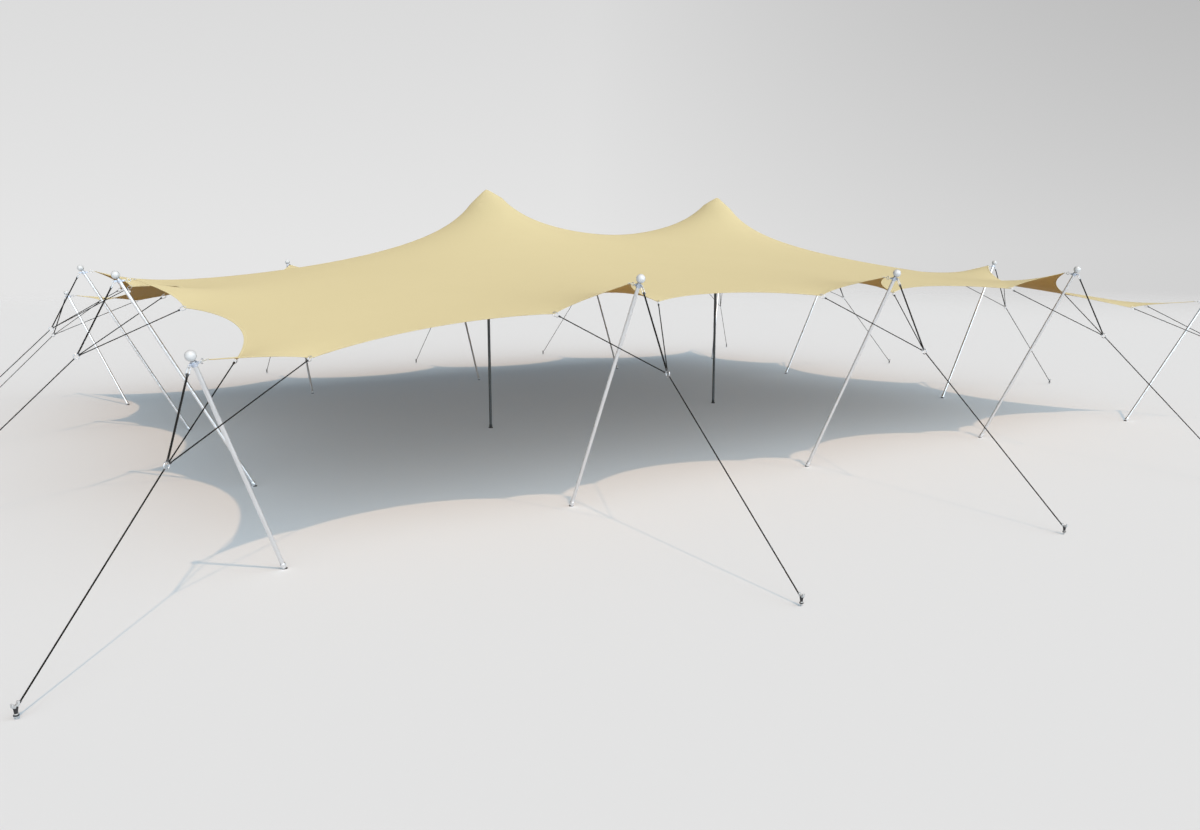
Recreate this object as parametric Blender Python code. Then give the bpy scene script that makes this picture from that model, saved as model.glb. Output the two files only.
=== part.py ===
"""A two-peak stretch tent: one stretched canopy on two main poles and fourteen leaning side poles,
each tied down by a guy set to a ground stake. Metres, +Z up, +X along the tent, +Y to its back."""

import math
from collections import namedtuple

import bmesh
import bpy
import numpy as np
from mathutils import Matrix, Vector

# Ground plan: where the poles stand, measured from the middle of the tent
SIDE_FOOT_X = 3.555
SIDE_FOOT_Y = 4.88
END_FOOT_X = 6.26
END_FOOT_Y = 2.10
CORNER_FOOT_X = 6.75
CORNER_FOOT_Y = 5.295
CORNER_BEARING = math.radians(42.6)
MAIN_FOOT_X = 2.243
MAIN_FOOT_Y = -0.240

# Leaning poles: a length runs from the foot to the middle of the ball on top
SIDE_POLE_LENGTH = 2.818
CORNER_POLE_LENGTH = 2.250
POLE_LEAN = math.radians(27.35)
POLE_DIAMETER = 0.038
FOOT_CAP_DIAMETER = 0.048
FOOT_CAP_LENGTH = 0.055
BALL_DIAMETER = 0.088
NECK_DIAMETER = 0.030
COLLAR_DIAMETER = 0.052
COLLAR_LENGTH = 0.032
COLLAR_BELOW_BALL = 0.075

# Head fittings: two lugs on the collar, a link with an eye to the canopy's tip and a shackle
LUG_THICKNESS = 0.010
LUG_HEIGHT = 0.022
LUG_REACH = 0.050
HEAD_WIRE = 0.009
TIP_LINK_LENGTH = 0.070
TIP_LINK_WIDTH = 0.042
TIP_LINK_RISE = math.radians(7)
TIP_EYE_LENGTH = 0.028
TIP_EYE_DIAMETER = 0.018
SHACKLE_LENGTH = 0.080
SHACKLE_WIDTH = 0.036

# Main poles: the height is that of the middle of the cloth's thickness at the peak
PEAK_HEIGHT = 3.614
MAIN_POLE_DIAMETER = 0.042
MAIN_FOOT_DIAMETER = 0.072
MAIN_FOOT_LENGTH = 0.030
MAIN_HEAD_DIAMETER = 0.200
MAIN_HEAD_SKIRT = 0.035

# Canopy
CANOPY_THICKNESS = 0.008
CANOPY_CELL = 0.60
EDGE_PULL = 1.73
SAG_LOAD = 0.0085
PEAK_CAP_RADIUS = 0.180
PEAK_CAP_DROP = 0.062
PEAK_CONE_RADIUS = 0.400

# Ties: where the tie ropes hold the canopy's edge on both sides of a pole, out from its foot.
# An outer tie is the one nearer to a corner. A corner's ties are offsets (x, y, z) from its foot.
TIE_SPREAD = 0.615
TIE_OUT = 0.733
TIE_HEIGHT = 2.242
OUTER_TIE_HEIGHT = 2.165
CORNER_TIE_ON_SIDE = (-0.300, 0.092, 1.856)
CORNER_TIE_ON_END = (0.290, -0.013, 1.871)

# Guy sets: a strap, two tie ropes and the main guy meet at a ring
RING_OUT = 1.735
RING_HEIGHT = 1.650
CORNER_RING_OUT = 1.380
CORNER_RING_HEIGHT = 1.237
RING_DIAMETER = 0.058
RING_WIRE = 0.010
TIE_KNOTS_TURN = math.radians(28)
TIE_KNOTS_SPREAD = math.radians(32)
STRAP_DIAMETER = 0.016
TIE_ROPE_DIAMETER = 0.010
GUY_ROPE_DIAMETER = 0.011
SLEEVE_DIAMETER = 0.017
SLEEVE_LENGTH = 0.050
TIE_END_DIAMETER = 0.009
TIE_END_TAPER = 0.014

# Ground stakes: how far each stands out from its pole's foot, and its head clear of the ground on a spike
SIDE_STAKE_OUT = 3.53
END_STAKE_OUT = 3.41
CORNER_STAKE_OUT = 2.83
STAKE_CLEARANCE = 0.024
STAKE_SPIKE_DIAMETER = 0.012
STAKE_FLANGE_DIAMETER = 0.036
STAKE_FLANGE_HEIGHT = 0.006
STAKE_RIM_DIAMETER = 0.029
STAKE_RIM_HEIGHT = 0.010
STAKE_BODY_DIAMETER = 0.031
STAKE_NECK_DIAMETER = 0.018
STAKE_BODY_HEIGHT = 0.034
CROWN_HEIGHT = 0.038
CROWN_WIDTH = 0.056
CROWN_THICKNESS = 0.020
CROWN_ROOT = 0.006
PRONG_WIDTH = 0.012

SEAT_GAP = 0.0003
POLE_SIDES = 8
BALL_BANDS = 4
MAIN_POLE_SIDES = 12
ROPE_SIDES = 6
STAKE_SIDES = 8
RING_STEPS = 8
LINK_STEPS = 6

OUT = Vector((1, 0, 0))
SIDEWAYS = Vector((0, 1, 0))
UP = Vector((0, 0, 1))
ORIGIN = Vector((0, 0, 0))

# A station is one leaning pole with its guy set and its stake. Its own frame has its origin at the
# pole's foot, +X outwards and +Z up; ring, stake_out and ties are places in that frame.
Station = namedtuple("Station", "name foot turn pole_length ring stake_out ties")

# A hold is a grid point of the canopy that a pole's tip or a tie holds, with its place in the tent
# and the direction in which its fitting points at it. Its number is that of the tie, or TIP.
Hold = namedtuple("Hold", "station number spot place pull")
TIP = "tip"


def material(name, colour, roughness, metallic=0.0):
    """A plain surface of one colour."""
    made = bpy.data.materials.new(name)
    made.use_nodes = True
    shader = made.node_tree.nodes["Principled BSDF"]
    shader.inputs["Base Color"].default_value = (*colour, 1)
    shader.inputs["Roughness"].default_value = roughness
    shader.inputs["Metallic"].default_value = metallic
    return made


def mesh_of(name, points, faces):
    """A closed mesh from points and faces, with its faces turned outwards and its round sides smooth."""
    work = bmesh.new()
    corners = [work.verts.new(point) for point in points]
    for face in faces:
        work.faces.new([corners[i] for i in face])
    bmesh.ops.recalc_face_normals(work, faces=work.faces)
    mesh = bpy.data.meshes.new(name)
    work.to_mesh(mesh)
    work.free()
    smooth(mesh)
    return mesh


def smooth(mesh):
    """Shade round sides smooth and keep real edges sharp."""
    mesh.shade_smooth()
    mesh.set_sharp_from_angle(angle=math.radians(48))


def stand(start, axis, hint=UP):
    """A matrix that puts local +Z along an axis and local +X as near a hint as it can."""
    z = axis.normalized()
    if abs(z.dot(hint)) > 0.99:
        hint = OUT
    x = (hint - z * hint.dot(z)).normalized()
    turn = Matrix((x, z.cross(x), z)).transposed().to_4x4()
    return Matrix.Translation(start) @ turn


def turned(name, profile, sides, place):
    """A closed solid turned from (radius, height) points; a radius of 0 at the top is a point."""
    points, faces, rings = [], [], []
    for radius, height in profile:
        if radius == 0:
            rings.append([len(points)] * sides)
            points.append(place @ Vector((0, 0, height)))
            continue
        rings.append(list(range(len(points), len(points) + sides)))
        for i in range(sides):
            turn = 2 * math.pi * i / sides
            points.append(place @ Vector((radius * math.cos(turn), radius * math.sin(turn), height)))
    for low, high in zip(rings, rings[1:]):
        for i in range(sides):
            j = (i + 1) % sides
            faces.append(list(dict.fromkeys([low[i], low[j], high[j], high[i]])))
    for ring in (rings[0], rings[-1]):
        if ring[0] != ring[1]:
            faces.append(ring)
    return mesh_of(name, points, faces)


def bar(name, start, end, diameter, sides):
    """A straight round bar with flat ends."""
    profile = [(diameter / 2, 0), (diameter / 2, (end - start).length)]
    return turned(name, profile, sides, stand(start, end - start))


def oval(name, middle, along, side, length, width, wire, steps):
    """A closed link of wire, bent to an oval whose long axis lies along a direction."""
    across = along.cross(side)
    reach, half_width, radius = (length - wire) / 2, (width - wire) / 2, wire / 2
    points, faces = [], []
    for i in range(steps):
        turn = 2 * math.pi * i / steps
        centre = middle + along * reach * math.cos(turn) + side * half_width * math.sin(turn)
        outward = (along * half_width * math.cos(turn) + side * reach * math.sin(turn)).normalized()
        points += [centre + outward * radius, centre + across * radius,
                   centre - outward * radius, centre - across * radius]
    for i in range(steps):
        here, there = 4 * i, 4 * ((i + 1) % steps)
        for k in range(4):
            n = (k + 1) % 4
            faces.append([here + k, here + n, there + n, there + k])
    return mesh_of(name, points, faces)


def block(name, start, along, length, width, height):
    """A bar of rectangular section that starts at a point and runs along a direction."""
    across = SIDEWAYS * width / 2
    rise = along.cross(SIDEWAYS) * height / 2
    section = [across + rise, across - rise, -across - rise, rise - across]
    points = [start + corner + along * reach for reach in (0, length) for corner in section]
    faces = [(0, 1, 2, 3), (7, 6, 5, 4)]
    faces += [(i, (i + 1) % 4, (i + 1) % 4 + 4, i + 4) for i in range(4)]
    return mesh_of(name, points, faces)


def plate(name, outline, thickness, outline_faces):
    """A flat plate in the station's upright plane, from (x, z) corners."""
    count = len(outline)
    points = [OUT * x + UP * z + SIDEWAYS * thickness / 2 * side for side in (-1, 1) for x, z in outline]
    faces = [list(face) for face in outline_faces]
    faces += [[i + count for i in reversed(face)] for face in outline_faces]
    faces += [[i, (i + 1) % count, (i + 1) % count + count, i + count] for i in range(count)]
    return mesh_of(name, points, faces)


def fused(name, meshes):
    """One mesh from closed meshes that run into each other, all joined in one step."""
    pieces = [bpy.data.objects.new("piece", mesh) for mesh in meshes]
    whole = pieces[0]
    bpy.context.scene.collection.objects.link(whole)
    others = bpy.data.collections.new("others")
    bpy.context.scene.collection.children.link(others)
    for piece in pieces[1:]:
        others.objects.link(piece)
    join = whole.modifiers.new("Join", "BOOLEAN")
    join.operation = "UNION"
    join.solver = "EXACT"
    join.operand_type = "COLLECTION"
    join.collection = others
    view = bpy.context.evaluated_depsgraph_get()
    mesh = bpy.data.meshes.new_from_object(whole.evaluated_get(view))
    mesh.name = name
    for piece in pieces:
        bpy.data.objects.remove(piece)
    bpy.data.collections.remove(others)
    smooth(mesh)
    return mesh


def cut_at_ground(mesh):
    """Take away what lies below the ground and close the cut with a flat face."""
    work = bmesh.new()
    work.from_mesh(mesh)
    geometry = work.verts[:] + work.edges[:] + work.faces[:]
    cut = bmesh.ops.bisect_plane(work, geom=geometry, plane_co=ORIGIN, plane_no=UP, clear_inner=True)
    rim = [item for item in cut["geom_cut"] if isinstance(item, bmesh.types.BMEdge)]
    bmesh.ops.edgeloop_fill(work, edges=rim)
    bmesh.ops.recalc_face_normals(work, faces=work.faces)
    work.to_mesh(mesh)
    work.free()


def add(name, mesh, surface, place=ORIGIN, turn=0.0):
    """Add a named piece to the tent at its place."""
    if not mesh.materials:
        mesh.materials.append(surface)
    piece = bpy.data.objects.new(name, mesh)
    piece.location = place
    piece.rotation_euler.z = turn
    bpy.context.scene.collection.objects.link(piece)


def edge_station(name, foot, turn, stake_out):
    """A station on a straight side or end of the tent."""
    ties = []
    for shift in (-TIE_SPREAD, TIE_SPREAD):
        towards_corner = foot.dot(Matrix.Rotation(turn, 3, "Z") @ SIDEWAYS) * shift
        is_outer = towards_corner > SEAT_GAP
        ties.append(Vector((TIE_OUT, shift, OUTER_TIE_HEIGHT if is_outer else TIE_HEIGHT)))
    return Station(name, foot, turn, SIDE_POLE_LENGTH, Vector((RING_OUT, 0, RING_HEIGHT)), stake_out, ties)


def corner_station(name, x_sign, y_sign):
    """The station at one corner, with a shorter pole that leans out across the corner."""
    foot = Vector((x_sign * CORNER_FOOT_X, y_sign * CORNER_FOOT_Y, 0))
    turn = math.atan2(y_sign * math.sin(CORNER_BEARING), x_sign * math.cos(CORNER_BEARING))
    back = Matrix.Rotation(-turn, 3, "Z")
    ties = [back @ Vector((x_sign * x, y_sign * y, z)) for x, y, z in (CORNER_TIE_ON_SIDE, CORNER_TIE_ON_END)]
    ring = Vector((CORNER_RING_OUT, 0, CORNER_RING_HEIGHT))
    return Station(name, foot, turn, CORNER_POLE_LENGTH, ring, CORNER_STAKE_OUT, ties)


def all_stations():
    """The fourteen stations round the tent."""
    stations = []
    for side, sign in (("front", -1), ("back", 1)):
        for place, x in (("left", -SIDE_FOOT_X), ("middle", 0.0), ("right", SIDE_FOOT_X)):
            foot = Vector((x, sign * SIDE_FOOT_Y, 0))
            stations.append(edge_station(f"{side}_{place}", foot, sign * math.pi / 2, SIDE_STAKE_OUT))
        for end, x_sign in (("left", -1), ("right", 1)):
            stations.append(corner_station(f"{side}_{end}_corner", x_sign, sign))
    for end, sign, turn in (("left", -1, math.pi), ("right", 1, 0.0)):
        for place, y in (("front", -END_FOOT_Y), ("back", END_FOOT_Y)):
            foot = Vector((sign * END_FOOT_X, y, 0))
            stations.append(edge_station(f"{end}_end_{place}", foot, turn, END_STAKE_OUT))
    return stations


def in_tent(station, point):
    """A point of the station's own frame as a place in the tent."""
    return station.foot + Matrix.Rotation(station.turn, 3, "Z") @ point


def pole_axis():
    """The direction of a leaning pole, from its foot to its ball."""
    return OUT * math.sin(POLE_LEAN) + UP * math.cos(POLE_LEAN)


def collar_middle(pole_length):
    """The middle of the collar that carries the head fittings."""
    return pole_axis() * (pole_length - COLLAR_BELOW_BALL)


def tip_direction():
    """The direction from the collar to the canopy's tip."""
    return -OUT * math.cos(TIP_LINK_RISE) + UP * math.sin(TIP_LINK_RISE)


def canopy_tip(pole_length):
    """The canopy's tip, just clear of the eye that holds it."""
    reach = LUG_REACH + TIP_LINK_LENGTH - HEAD_WIRE + TIP_EYE_LENGTH + SEAT_GAP
    return collar_middle(pole_length) + tip_direction() * reach


def shackle_pin(pole_length):
    """The point on the outer lug that the shackle hangs from."""
    return collar_middle(pole_length) + OUT * LUG_REACH


def strap_direction(station):
    """The direction from the pole's outer lug down to the ring."""
    return (station.ring - shackle_pin(station.pole_length)).normalized()


def ring_point(station, towards, turn=0.0):
    """The point on the ring's wire that faces a place, or lies a turn beyond it, inwards and down."""
    facing = towards - station.ring
    angle = math.atan2(facing.z, facing.x) + turn
    radius = (RING_DIAMETER - RING_WIRE) / 2
    return station.ring + (OUT * math.cos(angle) + UP * math.sin(angle)) * radius


def stake_seat(station):
    """The point where the guy's end meets the inner prong of the stake's crown."""
    crown_foot = STAKE_CLEARANCE + STAKE_FLANGE_HEIGHT + STAKE_RIM_HEIGHT + STAKE_BODY_HEIGHT
    inwards = CROWN_WIDTH / 2 - PRONG_WIDTH / 2
    return OUT * (station.stake_out - inwards) + UP * (crown_foot + CROWN_HEIGHT / 2)


def guy_direction(station):
    """The direction of the main guy, from the ring down to its seat on the stake."""
    seat = stake_seat(station)
    return (seat - ring_point(station, seat)).normalized()


def cell_lines(stops):
    """Grid lines through every stop, with each span between two stops cut into even cells."""
    stops = sorted(set(stops))
    lines = stops[:1]
    for low, high in zip(stops, stops[1:]):
        steps = max(1, math.ceil((high - low) / CANOPY_CELL))
        lines += [low + (high - low) * (i + 1) / steps for i in range(steps)]
    return np.array(lines)


def canopy_pattern():
    """The flat pattern's grid lines along X and along Y, which pass through every held point."""
    corner = ORIGIN + OUT * CORNER_FOOT_X + SIDEWAYS * CORNER_FOOT_Y
    tip = corner + Matrix.Rotation(CORNER_BEARING, 3, "Z") @ canopy_tip(CORNER_POLE_LENGTH)
    columns = [tip.x, corner.x + CORNER_TIE_ON_SIDE[0], TIE_SPREAD]
    peak = (-PEAK_CONE_RADIUS, -PEAK_CAP_RADIUS, 0, PEAK_CAP_RADIUS, PEAK_CONE_RADIUS)
    columns += [MAIN_FOOT_X + shift for shift in peak]
    columns += [SIDE_FOOT_X + shift for shift in (-TIE_SPREAD, 0, TIE_SPREAD)]
    rows = [tip.y, corner.y + CORNER_TIE_ON_END[1]]
    rows += [END_FOOT_Y + shift for shift in (-TIE_SPREAD, 0, TIE_SPREAD)]
    caps = [MAIN_FOOT_Y + shift for shift in peak]
    return (cell_lines([0.0] + [sign * x for x in columns for sign in (-1, 1)]),
            cell_lines(caps + [sign * y for y in rows for sign in (-1, 1)]))


def held_by_stations(stations, columns, rows):
    """Every hold round the canopy's edge."""

    def nearest(lines, value):
        return int(np.argmin(np.abs(lines - value)))

    def end(lines, value):
        return 0 if value < 0 else len(lines) - 1

    holds = []
    for station in stations:
        is_corner = "corner" in station.name
        on_end = "_end_" in station.name
        tip = canopy_tip(station.pole_length)
        grips = [(TIP, tip, collar_middle(station.pole_length))]
        grips += [(number, tie, tie_start(station, tie)) for number, tie in enumerate(station.ties)]
        for number, point, start in grips:
            place = in_tent(station, point)
            at_column_end = on_end or (is_corner and number != 0)
            at_row_end = not on_end and (not is_corner or number != 1)
            column = end(columns, place.x) if at_column_end else nearest(columns, place.x)
            row = end(rows, place.y) if at_row_end else nearest(rows, place.y)
            pull = (place - in_tent(station, start)).normalized()
            holds.append(Hold(station.name, number, (column, row), place, pull))
    return holds


def held_by_main_poles(columns, rows):
    """The shallow round caps over the main poles: grid point to its place."""
    held = {}
    for sign in (-1, 1):
        for i, x in enumerate(columns):
            for j, y in enumerate(rows):
                east, north = x - sign * MAIN_FOOT_X, y - MAIN_FOOT_Y
                radius = max(abs(east), abs(north))
                if radius > PEAK_CAP_RADIUS + SEAT_GAP:
                    continue
                turn = math.atan2(north, east)
                drop = PEAK_CAP_DROP * (radius / PEAK_CAP_RADIUS) ** 2
                held[i, j] = Vector((sign * MAIN_FOOT_X + radius * math.cos(turn),
                                     MAIN_FOOT_Y + radius * math.sin(turn), PEAK_HEIGHT - drop))
    return held


def stretched_surface(columns, rows, held):
    """The resting form of cloth between its held points, as a grid of places.

    Each free grid point balances the pulls of its neighbours. The cloth pulls alike all over, the
    webbing in its edges adds a pull of its own, and a small load makes it sag."""
    wide, deep = len(columns), len(rows)
    share_x, share_y = np.gradient(columns), np.gradient(rows)
    share_x[[0, -1]] /= 2
    share_y[[0, -1]] /= 2
    balance = np.zeros((wide * deep, wide * deep))

    def tie_together(a, b, strength):
        balance[[a, b], [a, b]] += strength
        balance[[a, b], [b, a]] -= strength

    for i in range(wide):
        for j in range(deep):
            here = i * deep + j
            if i + 1 < wide:
                webbing = EDGE_PULL if j in (0, deep - 1) else 0
                tie_together(here, here + deep, (share_y[j] + webbing) / (columns[i + 1] - columns[i]))
            if j + 1 < deep:
                webbing = EDGE_PULL if i in (0, wide - 1) else 0
                tie_together(here, here + 1, (share_x[i] + webbing) / (rows[j + 1] - rows[j]))
    load = np.zeros((wide * deep, 3))
    load[:, 2] = -SAG_LOAD * np.outer(share_x, share_y).ravel()
    fixed = np.array([i * deep + j for i, j in held])
    free = np.setdiff1d(np.arange(wide * deep), fixed)
    places = np.zeros((wide * deep, 3))
    places[fixed] = [tuple(place) for place in held.values()]
    pulls = load[free] - balance[np.ix_(free, fixed)] @ places[fixed]
    places[free] = np.linalg.solve(balance[np.ix_(free, free)], pulls)
    return places.reshape(wide, deep, 3)


def set_back(layers, hold):
    """How far short of its hold a round tie end stops, to clear the canopy's edge beside it.

    The edge may lean back past the end's flat face, so the face stops where its rim would meet it."""
    i, j = hold.spot
    wide, deep = layers[0].shape[:2]
    beside = [(i - 1, j), (i + 1, j)] if j in (0, deep - 1) else []
    beside += [(i, j - 1), (i, j + 1)] if i in (0, wide - 1) else []
    radius = TIE_END_DIAMETER / 2
    reaches = [0.0]
    for spot in beside:
        if not (0 <= spot[0] < wide and 0 <= spot[1] < deep):
            continue
        for layer in layers:
            corner = Vector(layer[hold.spot])
            way = Vector(layer[spot]) - corner
            back = -way.dot(hold.pull)
            across = way + hold.pull * back
            lean = back / across.length
            aside = (corner - hold.place).dot(across.normalized())
            rim_square = radius ** 2 + aside ** 2 - (corner - hold.place).length_squared
            reaches.append(lean * (math.sqrt(max(0.0, rim_square)) - aside))
    return SEAT_GAP + max(reaches)


def canopy_and_set_backs(stations):
    """The canopy's mesh, a closed sheet that is cut square to the pull at every hold, and the
    distance by which each hold's fitting stops short of it."""
    columns, rows = canopy_pattern()
    holds = held_by_stations(stations, columns, rows)
    held = {hold.spot: hold.place for hold in holds}
    held.update(held_by_main_poles(columns, rows))
    places = stretched_surface(columns, rows, held)
    normals = np.cross(np.gradient(places, axis=0), np.gradient(places, axis=1))
    for hold in holds:
        pull = np.array(hold.pull)
        normals[hold.spot] -= pull * np.dot(normals[hold.spot], pull)
    normals *= CANOPY_THICKNESS / 2 / np.linalg.norm(normals, axis=2, keepdims=True)
    layers = (places + normals, places - normals)
    set_backs = {(hold.station, hold.number): set_back(layers, hold) for hold in holds}
    wide, deep = len(columns), len(rows)
    count = wide * deep
    faces = []
    for i in range(wide - 1):
        for j in range(deep - 1):
            a, b, c, d = i * deep + j, (i + 1) * deep + j, (i + 1) * deep + j + 1, i * deep + j + 1
            rising = np.linalg.norm(places[i + 1, j + 1] - places[i, j])
            falling = np.linalg.norm(places[i, j + 1] - places[i + 1, j])
            halves = [(a, b, c), (a, c, d)] if rising <= falling else [(a, b, d), (b, c, d)]
            faces += halves
            faces += [[corner + count for corner in reversed(half)] for half in halves]
    rim = [i * deep for i in range(wide)]
    rim += [(wide - 1) * deep + j for j in range(1, deep)]
    rim += [i * deep + deep - 1 for i in reversed(range(wide - 1))]
    rim += list(reversed(range(1, deep - 1)))
    faces += [[b, a, a + count, b + count] for a, b in zip(rim, rim[1:] + rim[:1])]
    points = np.concatenate([layer.reshape(-1, 3) for layer in layers])
    return mesh_of("canopy", points.tolist(), faces), set_backs


def main_pole_mesh():
    """An upright pole with a foot, and a shallow cone that lifts the canopy's peak."""
    pole, foot, head = MAIN_POLE_DIAMETER / 2, MAIN_FOOT_DIAMETER / 2, MAIN_HEAD_DIAMETER / 2
    top = PEAK_HEIGHT - CANOPY_THICKNESS / 2 - SEAT_GAP
    cap_slope = PEAK_CAP_DROP / (PEAK_CAP_RADIUS * math.cos(math.pi / 8))
    rim = top - head * cap_slope - SEAT_GAP
    profile = [(foot, 0), (foot, MAIN_FOOT_LENGTH), (pole, MAIN_FOOT_LENGTH + foot - pole),
               (pole, rim - MAIN_HEAD_SKIRT), (head, rim - MAIN_HEAD_SKIRT / 2), (head, rim), (0, top)]
    return turned("main_pole", profile, MAIN_POLE_SIDES, Matrix.Identity(4))


def side_pole_mesh(length, strap_way):
    """A leaning pole with its foot cap, collar and ball, and the fittings on the collar."""
    tube, cap, collar = POLE_DIAMETER / 2, FOOT_CAP_DIAMETER / 2, COLLAR_DIAMETER / 2
    ball, neck = BALL_DIAMETER / 2, NECK_DIAMETER / 2
    collar_low = length - COLLAR_BELOW_BALL - COLLAR_LENGTH / 2
    profile = [(cap, -cap), (cap, FOOT_CAP_LENGTH), (tube, FOOT_CAP_LENGTH + cap - tube), (tube, collar_low),
               (collar, collar_low), (collar, collar_low + COLLAR_LENGTH), (neck, collar_low + COLLAR_LENGTH)]
    lowest = -math.acos(neck / ball)
    for i in range(BALL_BANDS):
        turn = lowest + (math.pi / 2 - lowest) * i / BALL_BANDS
        profile.append((ball * math.cos(turn), length + ball * math.sin(turn)))
    profile.append((0, length + ball))
    pole = turned("pole", profile, POLE_SIDES, stand(ORIGIN, pole_axis()))
    cut_at_ground(pole)
    tip_way, middle = tip_direction(), collar_middle(length)
    link_half = (TIP_LINK_LENGTH - HEAD_WIRE) / 2
    shackle_half = (SHACKLE_LENGTH - HEAD_WIRE) / 2
    pin = shackle_pin(length)
    lug_length = LUG_REACH + HEAD_WIRE
    eye_start = middle + tip_way * (LUG_REACH + 2 * link_half)
    return fused("pole", [
        pole,
        block("inner_lug", middle, tip_way, lug_length, LUG_THICKNESS, LUG_HEIGHT),
        block("outer_lug", middle, OUT, lug_length, LUG_THICKNESS, LUG_HEIGHT),
        oval("tip_link", middle + tip_way * (LUG_REACH + link_half), tip_way, SIDEWAYS.cross(tip_way),
             TIP_LINK_LENGTH, TIP_LINK_WIDTH, HEAD_WIRE, LINK_STEPS),
        bar("tip_eye", eye_start, eye_start + tip_way * TIP_EYE_LENGTH, TIP_EYE_DIAMETER, ROPE_SIDES),
        oval("shackle", pin + strap_way * shackle_half, strap_way, SIDEWAYS.cross(strap_way),
             SHACKLE_LENGTH, SHACKLE_WIDTH, HEAD_WIRE, LINK_STEPS),
    ])


def rope(name, start, end, diameter, end_diameter, taper):
    """A taut rope whose far end sits in a thicker sleeve, which may taper at its end."""
    length = (end - start).length
    sleeve = SLEEVE_DIAMETER / 2
    profile = [(diameter / 2, 0), (diameter / 2, length - SLEEVE_LENGTH), (sleeve, length - SLEEVE_LENGTH)]
    if taper:
        profile.append((sleeve, length - taper))
    profile.append((end_diameter / 2, length))
    return turned(name, profile, ROPE_SIDES, stand(start, end - start))


def tie_start(station, tie):
    """Where a tie rope leaves the ring: the two have places of their own, below the strap's."""
    return ring_point(station, tie, TIE_KNOTS_TURN + math.copysign(TIE_KNOTS_SPREAD / 2, tie.y))


def guy_set_mesh(station, set_backs):
    """The ring, the strap up to the pole's head, the two tie ropes and the guy down to the stake."""
    meshes = [oval("ring", station.ring, OUT, UP, RING_DIAMETER, RING_DIAMETER, RING_WIRE, RING_STEPS)]
    pin, strap_way = shackle_pin(station.pole_length), strap_direction(station)
    strap_top = pin + strap_way * (SHACKLE_LENGTH - HEAD_WIRE / 2 + SEAT_GAP)
    meshes.append(bar("strap", ring_point(station, pin), strap_top, STRAP_DIAMETER, ROPE_SIDES))
    for number, tie in enumerate(station.ties):
        start = tie_start(station, tie)
        end = tie - (tie - start).normalized() * set_backs[station.name, number]
        meshes.append(rope("tie", start, end, TIE_ROPE_DIAMETER, TIE_END_DIAMETER, TIE_END_TAPER))
    seat = stake_seat(station)
    end = seat - guy_direction(station) * SEAT_GAP
    meshes.append(rope("guy", ring_point(station, seat), end, GUY_ROPE_DIAMETER, SLEEVE_DIAMETER, 0))
    return fused("guy_set", meshes)


def stake_mesh(station):
    """A stake: spike, flange, rim and body, and a crown whose inner prong is square to the guy."""
    flange_low = STAKE_CLEARANCE
    flange_top = flange_low + STAKE_FLANGE_HEIGHT
    rim_top = flange_top + STAKE_RIM_HEIGHT
    body_top = rim_top + STAKE_BODY_HEIGHT
    spike, flange, rim = STAKE_SPIKE_DIAMETER / 2, STAKE_FLANGE_DIAMETER / 2, STAKE_RIM_DIAMETER / 2
    body, neck = STAKE_BODY_DIAMETER / 2, STAKE_NECK_DIAMETER / 2
    profile = [(spike, 0), (spike, flange_low), (flange, flange_low), (flange, flange_top), (rim, flange_top),
               (rim, rim_top), (neck, rim_top), (body, body_top - CROWN_ROOT), (body, body_top)]
    place = Matrix.Translation(OUT * station.stake_out)
    head = turned("head", profile, STAKE_SIDES, place)
    seat, way = stake_seat(station), guy_direction(station)
    face_up = Vector((-way.z, 0, way.x)) * SLEEVE_DIAMETER / 2
    low, high = seat - face_up, seat + face_up
    root, top, middle = body_top - CROWN_ROOT, body_top + CROWN_HEIGHT, station.stake_out
    outer = middle + CROWN_WIDTH / 2
    outline = [(middle - neck, root), (middle + neck, root), (outer, body_top + CROWN_HEIGHT / 2), (outer, top),
               (outer - PRONG_WIDTH, top), (middle, body_top + CROWN_HEIGHT / 3), (high.x, high.z), (low.x, low.z)]
    crown = plate("crown", outline, CROWN_THICKNESS, [(0, 1, 5), (1, 2, 4, 5), (2, 3, 4), (0, 5, 6, 7)])
    return fused("stake", [head, crown])


def main():
    for old in list(bpy.data.objects):
        bpy.data.objects.remove(old)
    cloth = material("sand_cloth", (0.73, 0.645, 0.376), 0.85)
    aluminium = material("brushed_aluminium", (0.66, 0.68, 0.72), 0.35, 0.9)
    dark_aluminium = material("dark_aluminium", (0.16, 0.17, 0.17), 0.45, 0.6)
    black_rope = material("black_rope", (0.03, 0.03, 0.03), 0.8)
    dark_steel = material("dark_steel", (0.10, 0.11, 0.12), 0.45, 0.7)
    stations = all_stations()
    canopy, set_backs = canopy_and_set_backs(stations)
    add("canopy", canopy, cloth)
    main_pole = main_pole_mesh()
    add("main_pole_left", main_pole, dark_aluminium, Vector((-MAIN_FOOT_X, MAIN_FOOT_Y, 0)))
    add("main_pole_right", main_pole, dark_aluminium, Vector((MAIN_FOOT_X, MAIN_FOOT_Y, 0)))
    for station in stations:
        pole = side_pole_mesh(station.pole_length, strap_direction(station))
        add(f"pole_{station.name}", pole, aluminium, station.foot, station.turn)
        add(f"guy_{station.name}", guy_set_mesh(station, set_backs), black_rope, station.foot, station.turn)
        add(f"stake_{station.name}", stake_mesh(station), dark_steel, station.foot, station.turn)


main()
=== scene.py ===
"""The look of a two-peak stretch tent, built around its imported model. Metres, +Z up, +X along the tent."""

import math
from collections import namedtuple

import bpy
import numpy as np
from mathutils import Matrix, Vector


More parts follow.
